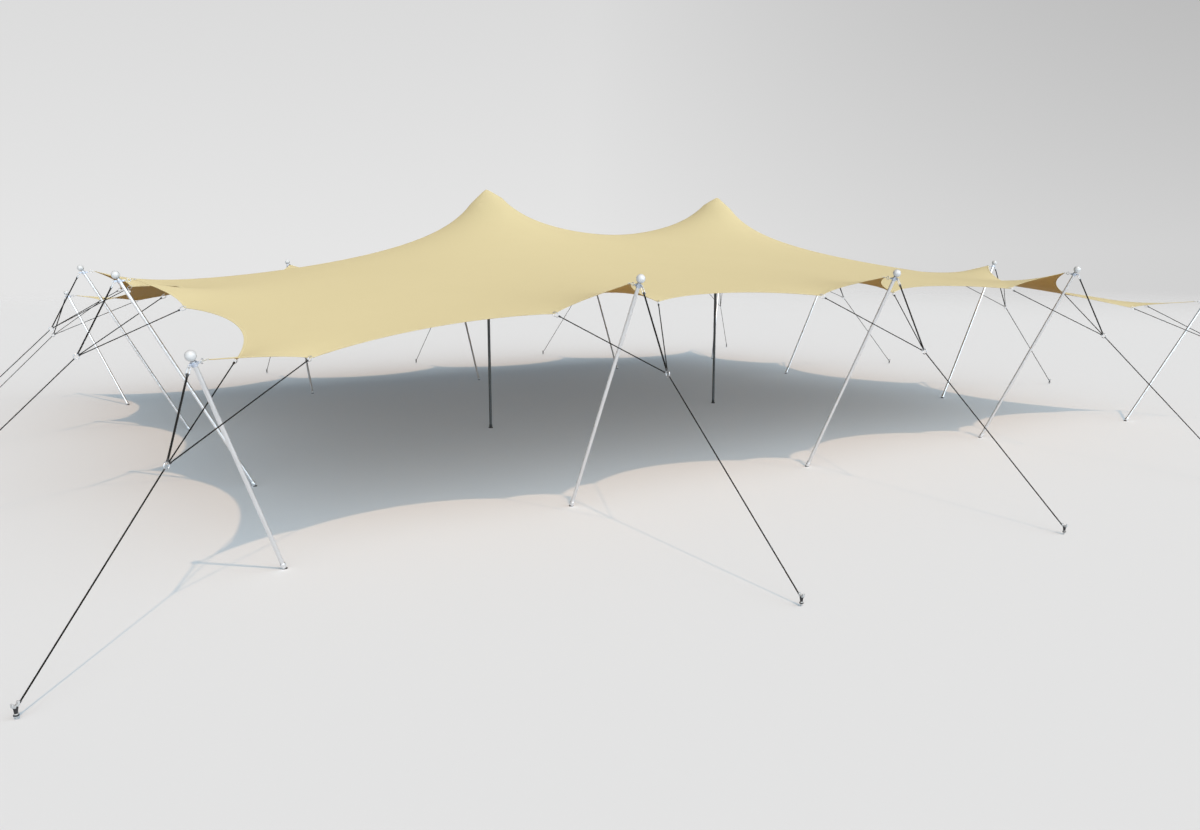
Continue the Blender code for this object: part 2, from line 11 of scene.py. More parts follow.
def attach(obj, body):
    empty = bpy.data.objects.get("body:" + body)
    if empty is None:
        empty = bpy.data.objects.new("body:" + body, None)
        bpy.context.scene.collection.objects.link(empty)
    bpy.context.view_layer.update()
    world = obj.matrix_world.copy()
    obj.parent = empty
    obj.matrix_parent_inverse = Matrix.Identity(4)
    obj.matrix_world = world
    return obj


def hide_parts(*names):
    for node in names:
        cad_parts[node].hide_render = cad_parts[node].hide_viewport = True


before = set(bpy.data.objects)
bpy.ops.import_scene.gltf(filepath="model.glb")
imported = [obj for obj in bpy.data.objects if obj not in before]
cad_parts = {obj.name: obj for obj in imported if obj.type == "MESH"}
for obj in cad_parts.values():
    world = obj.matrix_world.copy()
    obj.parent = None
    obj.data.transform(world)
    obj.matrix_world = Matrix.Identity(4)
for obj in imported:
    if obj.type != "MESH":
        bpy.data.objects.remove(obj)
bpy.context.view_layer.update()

# Ground plan and leaning poles, as in the construction
SIDE_FOOT_X = 3.555
SIDE_FOOT_Y = 4.88
END_FOOT_X = 6.26
END_FOOT_Y = 2.10
CORNER_FOOT_X = 6.75
CORNER_FOOT_Y = 5.295
CORNER_BEARING = math.radians(42.6)
MAIN_FOOT_X = 2.243
MAIN_FOOT_Y = -0.240
SIDE_POLE_LENGTH = 2.818
CORNER_POLE_LENGTH = 2.250
POLE_LEAN = math.radians(27.35)
POLE_DIAMETER = 0.038
FOOT_CAP_DIAMETER = 0.048
BALL_DIAMETER = 0.088
COLLAR_DIAMETER = 0.052
COLLAR_LENGTH = 0.032
COLLAR_BELOW_BALL = 0.075
LUG_REACH = 0.050
TIP_RISE = math.radians(7)
TIP_REACH = 0.1393
SHACKLE_REACH = 0.0757

# Small links of a pole's head: the reach of the middle, the length, the width and the wire
LUG_LINK = (0.018, 0.030, 0.024, 0.0055)
TIP_RING = (0.092, 0.038, 0.036, 0.0065)
STRAP_LINK = (0.010, 0.031, 0.027, 0.006)

# Main poles
PEAK_HEIGHT = 3.650
MAIN_POLE_DIAMETER = 0.042
MAIN_FOOT_DIAMETER = 0.072
MAIN_HEAD_DIAMETER = 0.140
MAIN_HEAD_SKIRT = 0.035
MAIN_HEAD_BELOW_PEAK = 0.0045
MAIN_SLEEVE_FOOT = 1.92
MAIN_SLEEVE_TOP = 1.99
MAIN_SLEEVE_WALL = 0.003

# Canopy: the net's cell, how many metres of cloth pull as hard as the webbing of an edge, and the load
CLOTH_THICKNESS = 0.003
CANOPY_CELL = 0.10
SIDE_EDGE_PULL = 1.26
END_EDGE_PULL = 1.85
TIP_EDGE_PULL = 0.45
SAG_LOAD = 0.0055

# Cones over the main poles: reach, slope, extra slope outwards, rounding of the tip, and lines of the net
CONE_RADIUS = 0.240
CONE_SLOPE = 0.774
CONE_LEAN = 0.213
CONE_TIP = 0.015
CONE_LINES = (0.035, 0.080, 0.155, 0.240, 0.390)

# The cloth before it is stretched, its knit, its hem and what is sewn on
KNIT_PITCH = 0.0042
HEM_CORD = 0.0042
HEM_FOLD = 0.0026
HEM_WIDTH = 0.034
STITCH_INSET = 0.027
STITCH_RAISE = 0.0029
EYELET_INSET = 0.016

# Ties, rings, links and ropes of the guy sets; a rope's end has a diameter and a length
TIE_SPREAD = 0.615
TIE_OUT = 0.733
TIE_HEIGHT = 2.242
OUTER_TIE_HEIGHT = 2.165
CORNER_TIE_ON_SIDE = (-0.300, 0.092, 1.856)
CORNER_TIE_ON_END = (0.290, -0.013, 1.871)
RING_OUT = 1.735
RING_HEIGHT = 1.650
CORNER_RING_OUT = 1.380
CORNER_RING_HEIGHT = 1.237
RING_DIAMETER = 0.066
RING_WIRE = 0.009
STRAP_DIAMETER = 0.018
TIE_ROPE_DIAMETER = 0.0115
GUY_ROPE_DIAMETER = 0.0125
STRAP_END = (0.023, 0.030)
TIE_ROPE_END = (0.0190, 0.024)
GUY_ROPE_END = (0.0150, 0.022)
ROPE_END_SLIMMER = 0.92
ROPE_END_SHORTER = 0.9
ROPE_INTO_END = 0.012
END_INTO_RING = 0.004
TIE_LINK_LENGTH = 0.066
CORNER_TIE_LINK_LENGTH = 0.054
LINK_PAST_EYELET = 0.015
LINK_WIDTH = 0.040
LINK_WIRE = 0.0065

# Stakes
SIDE_STAKE_OUT = 3.53
END_STAKE_OUT = 3.41
CORNER_STAKE_OUT = 2.83
STAKE_CLEARANCE = 0.024
STAKE_SEAT_HEIGHT = 0.091
STAKE_SEAT_INWARDS = 0.029

OUT = Vector((1, 0, 0))
SIDEWAYS = Vector((0, 1, 0))
UP = Vector((0, 0, 1))
ORIGIN = Vector((0, 0, 0))

# In a station's own frame: along its leaning pole, and from the collar to the canopy's tip
POLE_AXIS = OUT * math.sin(POLE_LEAN) + UP * math.cos(POLE_LEAN)
TIP_WAY = UP * math.sin(TIP_RISE) - OUT * math.cos(TIP_RISE)

Station = namedtuple("Station", "name foot turn pole_length ring stake_out ties")


# The stations: a leaning pole, its guy set and its stake, each in a frame with +X outwards

def edge_station(name, foot, turn, stake_out):
    """A station on a straight side or end of the tent."""
    ties = []
    for shift in (-TIE_SPREAD, TIE_SPREAD):
        is_outer = foot.dot(Matrix.Rotation(turn, 3, "Z") @ SIDEWAYS) * shift > 0.001
        ties.append(Vector((TIE_OUT, shift, OUTER_TIE_HEIGHT if is_outer else TIE_HEIGHT)))
    return Station(name, foot, turn, SIDE_POLE_LENGTH, Vector((RING_OUT, 0, RING_HEIGHT)), stake_out, ties)


def corner_station(name, x_sign, y_sign):
    """The station at one corner."""
    foot = Vector((x_sign * CORNER_FOOT_X, y_sign * CORNER_FOOT_Y, 0))
    turn = math.atan2(y_sign * math.sin(CORNER_BEARING), x_sign * math.cos(CORNER_BEARING))
    back = Matrix.Rotation(-turn, 3, "Z")
    ties = [back @ Vector((x_sign * x, y_sign * y, z)) for x, y, z in (CORNER_TIE_ON_SIDE, CORNER_TIE_ON_END)]
    ring = Vector((CORNER_RING_OUT, 0, CORNER_RING_HEIGHT))
    return Station(name, foot, turn, CORNER_POLE_LENGTH, ring, CORNER_STAKE_OUT, ties)


def all_stations():
    """The fourteen stations round the tent."""
    stations = []
    for side, sign in (("front", -1), ("back", 1)):
        for place, x in (("left", -SIDE_FOOT_X), ("middle", 0.0), ("right", SIDE_FOOT_X)):
            foot = Vector((x, sign * SIDE_FOOT_Y, 0))
            stations.append(edge_station(f"{side}_{place}", foot, sign * math.pi / 2, SIDE_STAKE_OUT))
        for end, x_sign in (("left", -1), ("right", 1)):
            stations.append(corner_station(f"{side}_{end}_corner", x_sign, sign))
    for end, sign, turn in (("left", -1, math.pi), ("right", 1, 0.0)):
        for place, y in (("front", -END_FOOT_Y), ("back", END_FOOT_Y)):
            foot = Vector((sign * END_FOOT_X, y, 0))
            stations.append(edge_station(f"{end}_end_{place}", foot, turn, END_STAKE_OUT))
    return stations


def in_tent(station):
    """The matrix from a station's own frame to the tent."""
    return Matrix.Translation(station.foot) @ Matrix.Rotation(station.turn, 4, "Z")


def collar_middle(station):
    """The middle of the collar that carries the head fittings."""
    return POLE_AXIS * (station.pole_length - COLLAR_BELOW_BALL)


def canopy_tip(station):
    """The canopy's tip in a station's frame."""
    return collar_middle(station) + TIP_WAY * TIP_REACH


def shackle_pin(station):
    """The point on the outer ear from which the shackle hangs."""
    return collar_middle(station) + OUT * LUG_REACH


def strap_way(station):
    """The direction from the outer ear down to the ring."""
    return (station.ring - shackle_pin(station)).normalized()


def stake_seat(station):
    """Where the guy meets the inner prong of its stake."""
    return OUT * (station.stake_out - STAKE_SEAT_INWARDS) + UP * STAKE_SEAT_HEIGHT


# The canopy's resting form, found on a grid that passes through every held point

def cell_lines(stops):
    """Grid lines through every stop, with each span cut into even cells."""
    stops = sorted(set(stops))
    lines = stops[:1]
    for low, high in zip(stops, stops[1:]):
        steps = max(1, math.ceil((high - low) / CANOPY_CELL))
        lines += [low + (high - low) * (i + 1) / steps for i in range(steps)]
    return np.array(lines)


def canopy_pattern(corner):
    """The flat pattern's grid lines along X and along Y."""
    tip = in_tent(corner) @ canopy_tip(corner)
    columns = [abs(tip.x), CORNER_FOOT_X + CORNER_TIE_ON_SIDE[0], TIE_SPREAD]
    peak = [0.0] + [sign * reach for reach in CONE_LINES for sign in (-1, 1)]
    columns += [MAIN_FOOT_X + shift for shift in peak]
    columns += [SIDE_FOOT_X + shift for shift in (-TIE_SPREAD, 0, TIE_SPREAD)]
    rows = [abs(tip.y), CORNER_FOOT_Y + CORNER_TIE_ON_END[1]]
    rows += [END_FOOT_Y + shift for shift in (-TIE_SPREAD, 0, TIE_SPREAD)]
    caps = [MAIN_FOOT_Y + shift for shift in peak]
    return (cell_lines([0.0] + [sign * x for x in columns for sign in (-1, 1)]),
            cell_lines(caps + [sign * y for y in rows for sign in (-1, 1)]))


def held_by_stations(stations, columns, rows):
    """Grid point to place, for every tip and tie round the edge."""

    def line(lines, value, at_end):
        if at_end:
            return 0 if value < 0 else len(lines) - 1
        return int(np.argmin(np.abs(lines - value)))

    held = {}
    for station in stations:
        is_corner = "corner" in station.name
        on_end = "_end_" in station.name
        for number, point in enumerate([canopy_tip(station)] + station.ties):
            place = in_tent(station) @ point
            column = line(columns, place.x, on_end or (is_corner and number != 1))
            row = line(rows, place.y, not on_end and (not is_corner or number != 2))
            held[column, row] = place
    return held


def held_by_main_poles(columns, rows):
    """The cones that the main poles push up: grid point to place. Each is steeper on its outer side."""
    held = {}
    for sign in (-1, 1):
        for i, x in enumerate(columns):
            for j, y in enumerate(rows):
                east, north = x - sign * MAIN_FOOT_X, y - MAIN_FOOT_Y
                radius = max(abs(east), abs(north))
                if radius > CONE_RADIUS + 0.001:
                    continue
                turn = math.atan2(north, east)
                drop = cone_drop(radius) + CONE_LEAN * sign * radius * math.cos(turn)
                held[i, j] = Vector((sign * MAIN_FOOT_X + radius * math.cos(turn),
                                     MAIN_FOOT_Y + radius * math.sin(turn), PEAK_HEIGHT - drop))
    return held


def cone_drop(radius):
    """How far a cone of cloth drops from its rounded tip."""
    return math.hypot(CONE_SLOPE * radius, CONE_TIP) - CONE_TIP


def webbing_pull(lines, tips, pull):
    """The pull of the webbing along one edge, cell by cell: slacker between a pole's tip and its ties."""
    middles = np.abs(lines[1:] + lines[:-1]) / 2
    is_near = np.any([np.abs(middles - tip) < TIE_SPREAD for tip in tips], axis=0)
    return np.where(is_near, TIP_EDGE_PULL, pull)


def stretched_surface(columns, rows, held):
    """The balance of pulls between the held points, as a grid of places.

    The cloth pulls alike all over, the webbing in its edges adds a pull, and a small load sags it.
    The balance is found by conjugate gradients, which start from the flat pattern."""
    share_x, share_y = np.gradient(columns), np.gradient(rows)
    share_x[[0, -1]] /= 2
    share_y[[0, -1]] /= 2
    on_sides, on_ends = np.zeros(len(rows)), np.zeros(len(columns))
    on_sides[[0, -1]] = 1
    on_ends[[0, -1]] = 1
    side_pull = webbing_pull(columns, (0, SIDE_FOOT_X, columns[-1]), SIDE_EDGE_PULL)
    end_pull = webbing_pull(rows, (END_FOOT_Y, rows[-1]), END_EDGE_PULL)
    along_x = (share_y + np.outer(side_pull, on_sides))[..., None] / np.diff(columns)[:, None, None]
    along_y = (share_x[:, None] + np.outer(on_ends, end_pull))[..., None] / np.diff(rows)[None, :, None]
    places = np.full((len(columns), len(rows), 3), PEAK_HEIGHT / 2)
    places[..., 0] = columns[:, None]
    places[..., 1] = rows[None, :]
    is_free = np.ones((len(columns), len(rows), 1))
    for spot, place in held.items():
        places[spot] = place
        is_free[spot] = 0

    def pull_of(grid):
        pull = np.zeros_like(grid)
        for links, axis in ((along_x, 0), (along_y, 1)):
            flow = links * np.diff(grid, axis=axis)
            low, high = [slice(None)] * 2, [slice(None)] * 2
            low[axis], high[axis] = slice(None, -1), slice(1, None)
            pull[tuple(low)] -= flow
            pull[tuple(high)] += flow
        return pull

    stiffness = np.zeros((len(columns), len(rows), 1))
    stiffness[:-1] += along_x
    stiffness[1:] += along_x
    stiffness[:, :-1] += along_y
    stiffness[:, 1:] += along_y
    load = np.zeros_like(places)
    load[..., 2] = -SAG_LOAD * np.outer(share_x, share_y)
    rest = (load - pull_of(places)) * is_free
    step = rest / stiffness
    size = (rest * step).sum((0, 1))
    way = step.copy()
    while np.abs(rest).max() > 1e-7:
        answer = pull_of(way) * is_free
        stride = size / np.maximum((way * answer).sum((0, 1)), 1e-30)
        places += stride * way
        rest -= stride * answer
        step = rest / stiffness
        new_size = (rest * step).sum((0, 1))
        way = step + way * new_size / np.maximum(size, 1e-30)
        size = new_size
    return places


class Cloth:
    """The canopy's middle surface, as grids of places and of unit normals over the flat pattern."""

    def __init__(self, stations):
        self.columns, self.rows = canopy_pattern([s for s in stations if "corner" in s.name][0])
        self.held = held_by_stations(stations, self.columns, self.rows)
        fixed = dict(self.held)
        fixed.update(held_by_main_poles(self.columns, self.rows))
        self.places = stretched_surface(self.columns, self.rows, fixed)
        normals = np.cross(np.gradient(self.places, axis=0), np.gradient(self.places, axis=1))
        self.normals = normals / np.linalg.norm(normals, axis=2, keepdims=True)

    def rim(self):
        """The grid points round the edge, in order."""
        last_i, last_j = len(self.columns) - 1, len(self.rows) - 1
        spots = [(i, 0) for i in range(last_i)]
        spots += [(last_i, j) for j in range(last_j)]
        spots += [(i, last_j) for i in range(last_i, 0, -1)]
        spots += [(0, j) for j in range(last_j, 0, -1)]
        return spots

    def inwards(self, spot):
        """The unit direction from an edge point into the cloth, square to its normal."""
        last_i, last_j = len(self.columns) - 1, len(self.rows) - 1
        inner = (min(max(spot[0], 1), last_i - 1), min(max(spot[1], 1), last_j - 1))
        way = self.places[inner] - self.places[spot]
        way -= self.normals[spot] * np.dot(way, self.normals[spot])
        return way / np.linalg.norm(way)

    def triangles(self):
        """The grid's cells, each split along its shorter diagonal, facing up."""
        deep = len(self.rows)
        faces = []
        for i in range(len(self.columns) - 1):
            for j in range(deep - 1):
                a, b, c, d = i * deep + j, (i + 1) * deep + j, (i + 1) * deep + j + 1, i * deep + j + 1
                rising = np.linalg.norm(self.places[i + 1, j + 1] - self.places[i, j])
                falling = np.linalg.norm(self.places[i + 1, j] - self.places[i, j + 1])
                faces += [[a, b, c], [a, c, d]] if rising < falling else [[a, b, d], [b, c, d]]
        return faces


# Shapes

class Shape:
    """Points, faces, finishes and texture places of one piece while it is built."""

    def __init__(self):
        self.points, self.faces, self.finishes, self.spots = [], [], [], []

    def add(self, points, faces, finish, spots):
        """Add faces over new points; spots are texture places for each corner of each face."""
        start = len(self.points)
        self.points += [Vector(point) for point in points]
        for number, face in enumerate(faces):
            self.faces.append([start + i for i in face])
            self.finishes.append(finish)
            self.spots.append(spots[number])

    def grid(self, rings, finish, lengths=None, widths=None, caps=True):
        """A skin over closed rings of points; lengths and widths are texture places along and round it."""
        count = len(rings[0])
        points = [point for ring in rings for point in ring]
        lengths = lengths or list(range(len(rings)))
        widths = widths or list(range(count + 1))
        faces, spots = [], []
        for k in range(len(rings) - 1):
            for i in range(count):
                j = (i + 1) % count
                faces.append([k * count + i, k * count + j, (k + 1) * count + j, (k + 1) * count + i])
                spots.append([(widths[i], lengths[k]), (widths[i + 1], lengths[k]),
                              (widths[i + 1], lengths[k + 1]), (widths[i], lengths[k + 1])])
        if caps:
            for ring, low in ((0, True), (len(rings) - 1, False)):
                face = [ring * count + i for i in range(count)]
                faces.append(face[::-1] if low else face)
                order = reversed(range(count)) if low else range(count)
                spots.append([(widths[i], lengths[ring]) for i in order])
        self.add(points, faces, finish, spots)


def stand(start, axis):
    """A matrix that puts local +Z along an axis and local +X as near to upwards as it can."""
    z = axis.normalized()
    hint = OUT if abs(z.dot(UP)) > 0.99 else UP
    x = (hint - z * hint.dot(z)).normalized()
    turn = Matrix((x, z.cross(x), z)).transposed().to_4x4()
    return Matrix.Translation(start) @ turn


def turned(shape, profile, place, sides, finish):
    """A solid turned from (radius, height) points, closed with flat or pointed ends."""
    tiny = 1e-5
    turns = [2 * math.pi * i / sides for i in range(sides)]
    girth = 2 * math.pi * max(radius for radius, height in profile)
    rings, lengths, length = [], [], 0.0
    for k, (radius, height) in enumerate(profile):
        if k:
            length += math.dist(profile[k - 1], (radius, height))
        lengths.append(length)
        radius = max(radius, tiny)
        rings.append([place @ Vector((radius * math.cos(a), radius * math.sin(a), height)) for a in turns])
    widths = [girth * i / sides for i in range(sides + 1)]
    shape.grid(rings, finish, lengths, widths)


def arc(middle_radius, middle_height, radius, start, end, steps):
    """(radius, height) points along an arc, angles in degrees from straight out."""
    turns = [math.radians(start + (end - start) * i / steps) for i in range(steps + 1)]
    return [(middle_radius + radius * math.cos(t), middle_height + radius * math.sin(t)) for t in turns]


def wire(shape, path, diameter, closed, finish, sides):
    """Round wire bent along a flat path of points, closed on itself or with domed ends."""
    count = len(path)
    span = [path[(k + 1) % count] - path[k] for k in range(count)]
    if not closed:
        span[-1] = span[-2]
    flat = sum((span[k].cross(span[k + 1]) for k in range(count - 2)), ORIGIN)
    across = flat.normalized() if flat.length > 1e-12 else span[0].orthogonal().normalized()
    turns = [2 * math.pi * i / sides for i in range(sides)]
    radius = diameter / 2
    rings = []
    for k in range(count):
        before = span[k - 1] if (k or closed) else span[0]
        along = (before.normalized() + span[k].normalized()).normalized()
        side = along.cross(across).normalized()
        rings.append([path[k] + (side * math.cos(a) + across * math.sin(a)) * radius for a in turns])
    if closed:
        rings.append(rings[0])
    lengths = [sum(s.length for s in span[:k]) for k in range(len(rings))]
    widths = [math.pi * diameter * i / sides for i in range(sides + 1)]
    shape.grid(rings, finish, lengths, widths, caps=not closed)


def loop_path(middle, along, side, length, width, steps=28):
    """Points round a link whose long axis is along: two half circles joined by straight sides."""
    radius, half = width / 2, max(0.0, (length - width) / 2)
    points = []
    for i in range(steps):
        turn = 2 * math.pi * (i + 0.5) / steps
        shift = half if math.cos(turn) > 0 else -half
        points.append(middle + along * (shift + radius * math.cos(turn)) + side * radius * math.sin(turn))
    return points


def shrunk(outline, inset):
    """A flat outline moved inwards; its corners run counter-clockwise."""
    moved = []
    for k, corner in enumerate(outline):
        before, after = outline[k - 1], outline[(k + 1) % len(outline)]
        first, last = (corner - before).normalized(), (after - corner).normalized()
        way = Vector((-first.y - last.y, first.x + last.x)).normalized()
        moved.append(corner + way * inset / max(0.5, way.dot(Vector((-last.y, last.x)))))
    return moved


def plate(shape, outline, middle, along, side, thickness, finish, edge):
    """A flat plate from counter-clockwise (along, side) corners, with its edges chamfered."""
    across = along.cross(side).normalized()
    outline = [Vector(corner) for corner in outline]
    rings = []
    bevel = 2 * edge / thickness
    for height, inset in ((-1, edge), (-1 + bevel, 0), (1 - bevel, 0), (1, edge)):
        rings.append([middle + along * spot.x + side * spot.y + across * height * thickness / 2
                      for spot in shrunk(outline, inset)])
    shape.grid(rings, finish)


def tapered_end(shape, start, way, diameter, length):
    """A moulded rope end: a sleeve with a rounded shoulder at each end."""
    r, lip = diameter / 2, diameter * 0.18
    profile = [(r - lip, 0)] + arc(r - lip, lip, lip, -60, 0, 3)
    profile += [(r, length * 0.45), (r * 0.93, length * 0.5), (r * 0.93, length * 0.72), (r * 0.72, length)]
    turned(shape, profile, stand(start, way), 16, 0)


def bolt_heads(shape, middle, reach, profile):
    """A six-sided bolt head on both sides of a plate."""
    for side in (-1, 1):
        turned(shape, profile, stand(middle + SIDEWAYS * side * reach, SIDEWAYS * side), 6, 0)


def finished_piece(name, shape, materials, place=Matrix.Identity(4), nodes=(), crease=38):
    """The shape as an object at the origin that rides on the tent."""
    mesh = bpy.data.meshes.new(name)
    mesh.from_pydata([place @ point for point in shape.points], [], shape.faces)
    mesh.polygons.foreach_set("material_index", shape.finishes)
    texture = mesh.uv_layers.new(name="UVMap")
    texture.data.foreach_set("uv", [value for face in shape.spots for spot in face for value in spot])
    for surface in materials:
        mesh.materials.append(surface)
    mesh.update()
    mesh.shade_smooth()
    mesh.set_sharp_from_angle(angle=math.radians(crease))
    return carried(name, mesh, nodes)


def station_piece(stem, station, shape, materials, nodes=(), crease=38):
    """A shape in a station's own frame as an object with the station's name."""
    return finished_piece(f"{stem}_{station.name}", shape, materials, in_tent(station), nodes, crease)


def placed(name, data):
    """A new object in the scene."""
    made = bpy.data.objects.new(name, data)
    bpy.context.scene.collection.objects.link(made)
    return made


def carried(name, mesh, nodes=()):
    """A mesh as an object on the tent's body, with the nodes that it stands for hidden."""
    piece = placed(name, mesh)
    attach(piece, "root")
    if nodes:
        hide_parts(*nodes)
    return piece


# Node trees: sockets that are written as plain maths

class Socket:
    """A value in a node tree, for expressions such as 1 - mask * 0.5."""

    def __init__(self, tree, output):
        self.tree, self.output = tree, output

    def maths(self, operation, *values):
        return self.tree.node("ShaderNodeMath", {"operation": operation}, dict(enumerate(values)))

    def __add__(self, other):
        return self.maths("ADD", self, other)

    def __radd__(self, other):
        return self.maths("ADD", other, self)

    def __sub__(self, other):
        return self.maths("SUBTRACT", self, other)

    def __rsub__(self, other):
        return self.maths("SUBTRACT", other, self)

    def __mul__(self, other):
        return self.maths("MULTIPLY", self, other)

    def __rmul__(self, other):
        return self.maths("MULTIPLY", other, self)

    def __truediv__(self, other):
        return self.maths("DIVIDE", self, other)

    def __rtruediv__(self, other):
        return self.maths("DIVIDE", other, self)

    def __pow__(self, other):
        return self.maths("POWER", self, other)

    def sine(self):
        return self.maths("SINE", self)

    def above(self, level):
        return self.maths("MAXIMUM", self, level)


class Tree:
    """A node tree with one method that adds any node."""

    def __init__(self, tree):
        self.tree = tree

    def node(self, kind, settings=None, sockets=None, output=0):
        """Add a node: its settings first, then the values or links of its sockets, by name or number."""
        made = self.tree.nodes.new(kind)
        for name, value in (settings or {}).items():
            setattr(made, name, value)
        for key, value in (sockets or {}).items():
            if isinstance(value, Socket):
                self.tree.links.new(value.output, made.inputs[key])
            else:
                made.inputs[key].default_value = value
        return Socket(self, made.outputs[output])

    def parts(self, place):
        """A place's X, Y and Z."""
        x = self.node("ShaderNodeSeparateXYZ", None, {0: place})
        return x, *(Socket(self, x.output.node.outputs[number]) for number in (1, 2))


class Finish(Tree):
    """A material with a Principled shader whose sockets are set by name."""

    def __init__(self, name, roughness, metallic=0.0, **constants):
        self.material = bpy.data.materials.new(name)
        self.material.use_nodes = True
        super().__init__(self.material.node_tree)
        self.shader = self.tree.nodes["Principled BSDF"]
        self.put("Roughness", roughness)
        self.put("Metallic", metallic)
        for key, value in constants.items():
            self.put(key.replace("_", " "), value)

    def put(self, name, value):
        """Set or link one of the shader's sockets."""
        if isinstance(value, Socket):
            self.tree.links.new(value.output, self.shader.inputs[name])
        else:
            self.shader.inputs[name].default_value = value

    def places(self):
        """Object coordinates, which are the tent's own."""
        return self.node("ShaderNodeTexCoord", output="Object")

    def texture_place(self):
        """The piece's own texture places, in metres."""
        return self.node("ShaderNodeTexCoord", output="UV")

    def cloud(self, place, scale, detail, roughness, stretch=None):
        """Soft noise from 0 to 1 at a scale, stretched where a grain runs one way."""
        if stretch:
            place = self.node("ShaderNodeMapping", None, {"Vector": place, "Scale": stretch})
        sockets = {"Vector": place, "Scale": scale, "Detail": detail, "Roughness": roughness}
        return self.node("ShaderNodeTexNoise", None, sockets)

    def colour(self, mask, low, high):
        """A colour between two, by a mask."""
        settings = {"data_type": "RGBA", "clamp_factor": True}
        return self.node("ShaderNodeMix", settings, {0: mask, 6: (*low, 1), 7: (*high, 1)}, 2)

    def bump(self, height, distance, strength):
        """Raise the surface by a height."""
        sockets = {"Height": height, "Distance": distance, "Strength": strength}
        self.put("Normal", self.node("ShaderNodeBump", None, sockets))


def stretch_cloth(name, light, dark, ground):
    """Knitted stretch cloth: a fine rib both ways, soft tone changes and a little dust."""
    cloth = Finish(name, 0.86, Specular_IOR_Level=0.18, Diffuse_Roughness=0.6)
    flat = cloth.texture_place()
    across, along, _ = cloth.parts(flat)
    rib = 2 * math.pi / KNIT_PITCH
    knit = (across * rib).sine() * 0.5 + (along * rib).sine() * 0.5
    slub = cloth.cloud(flat, 160.0, 2.0, 0.5, (1.0, 0.12, 1.0))
    tone = cloth.cloud(flat, 0.55, 4.0, 0.55)
    dust = cloth.cloud(flat, 5.5, 3.0, 0.6)
    mask = tone * 0.45 + dust * 0.25 + slub * 0.15 + knit * 0.06 + 0.08
    cloth.put("Base Color", cloth.colour(mask, dark, light))
    cloth.put("Roughness", ground + dust * 0.10)
    cloth.bump(knit * 0.5 + slub * 0.6, 0.0006, 0.35)
    return cloth.material


def satin_aluminium(name, light, dark, roughness, metallic):
    """Aluminium tube with a fine drawn grain along it, dulled in soft patches."""
    metal = Finish(name, roughness, metallic)
    flat = metal.texture_place()
    grain = metal.cloud(flat, 1.0, 4.0, 0.6, (2200.0, 26.0, 1.0))
    patches = metal.cloud(metal.places(), 7.0, 4.0, 0.6)
    metal.put("Base Color", metal.colour(grain * 0.5 + patches * 0.5, dark, light))
    metal.put("Roughness", roughness - 0.06 + patches * 0.16 + grain * 0.06)
    metal.bump(grain, 0.0001, 0.25)
    return metal.material


def zinc_steel(name):
    """Bright plated steel for rings and shackles, with faint spangle and duller patches."""
    steel = Finish(name, 0.3, 0.9)
    place = steel.places()
    spangle = steel.node("ShaderNodeTexVoronoi", None, {"Vector": place, "Scale": 260.0}, "Color")
    grey = steel.node("ShaderNodeSeparateColor", None, {0: spangle})
    worn = steel.cloud(place, 45.0, 4.0, 0.65)
    steel.put("Base Color", steel.colour(grey * 0.35 + worn * 0.6, (0.42, 0.44, 0.47), (0.74, 0.75, 0.77)))
    steel.put("Roughness", 0.24 + worn * 0.22)
    steel.bump(worn, 0.0002, 0.3)
    return steel.material


def worn(name, low, high, *, fine, start, change, bump, roughness, metallic=0.0, broad=None, share=1.0,
         **constants):
    """A moulded, laid or painted finish whose colour lies between two, by clouds of wear.

    A cloud is (scale, detail, roughness). The fine one has its share of the colour, and also changes the
    roughness, from its start, and the surface, by a bump of (distance, strength)."""
    made = Finish(name, roughness, metallic, **constants)
    place = made.places()
    wear = made.cloud(place, *fine)
    mask = wear * share + made.cloud(place, *broad) * (1 - share) if broad else wear
    made.put("Base Color", made.colour(mask, low, high))
    made.put("Roughness", start + wear * change)
    made.bump(wear, *bump)
    return made.material


def white_plastic(name):
    """Moulded white plastic of the balls, with a soft gloss and fine scuffs."""
    return worn(name, (0.45, 0.455, 0.46), (0.54, 0.545, 0.55), fine=(70.0, 5.0, 0.7), broad=(16.0, 2.0, 0.5),
                share=0.4, start=0.28, change=0.20, bump=(0.0002, 0.12), roughness=0.35, Coat_Weight=0.25)


def dark_rope(name):
    """Laid polyester rope: near-black strands with lighter worn fibres on their crowns."""
    return worn(name, (0.005, 0.005, 0.005), (0.022, 0.021, 0.020), fine=(900.0, 3.0, 0.6),
                broad=(14.0, 4.0, 0.6), share=0.55, start=0.68, change=0.2, bump=(0.0006, 0.5),
                roughness=0.78, Specular_IOR_Level=0.06)


def black_rubber(name):
    """Moulded black ends, with a faint bloom."""
    return worn(name, (0.008, 0.008, 0.009), (0.030, 0.030, 0.031), fine=(60.0, 4.0, 0.6),
                start=0.42, change=0.2, bump=(0.0003, 0.2), roughness=0.5)


def scuffed(name, low, high, roughness, metallic):
    """A finish with small chips and scuffs, for the stakes' painted steel and for coarse thread."""
    return worn(name, low, high, fine=(85.0, 6.0, 0.7), broad=(20.0, 3.0, 0.55), share=0.65,
                start=roughness - 0.08, change=0.2, bump=(0.0004, 0.35), roughness=roughness,
                metallic=metallic)


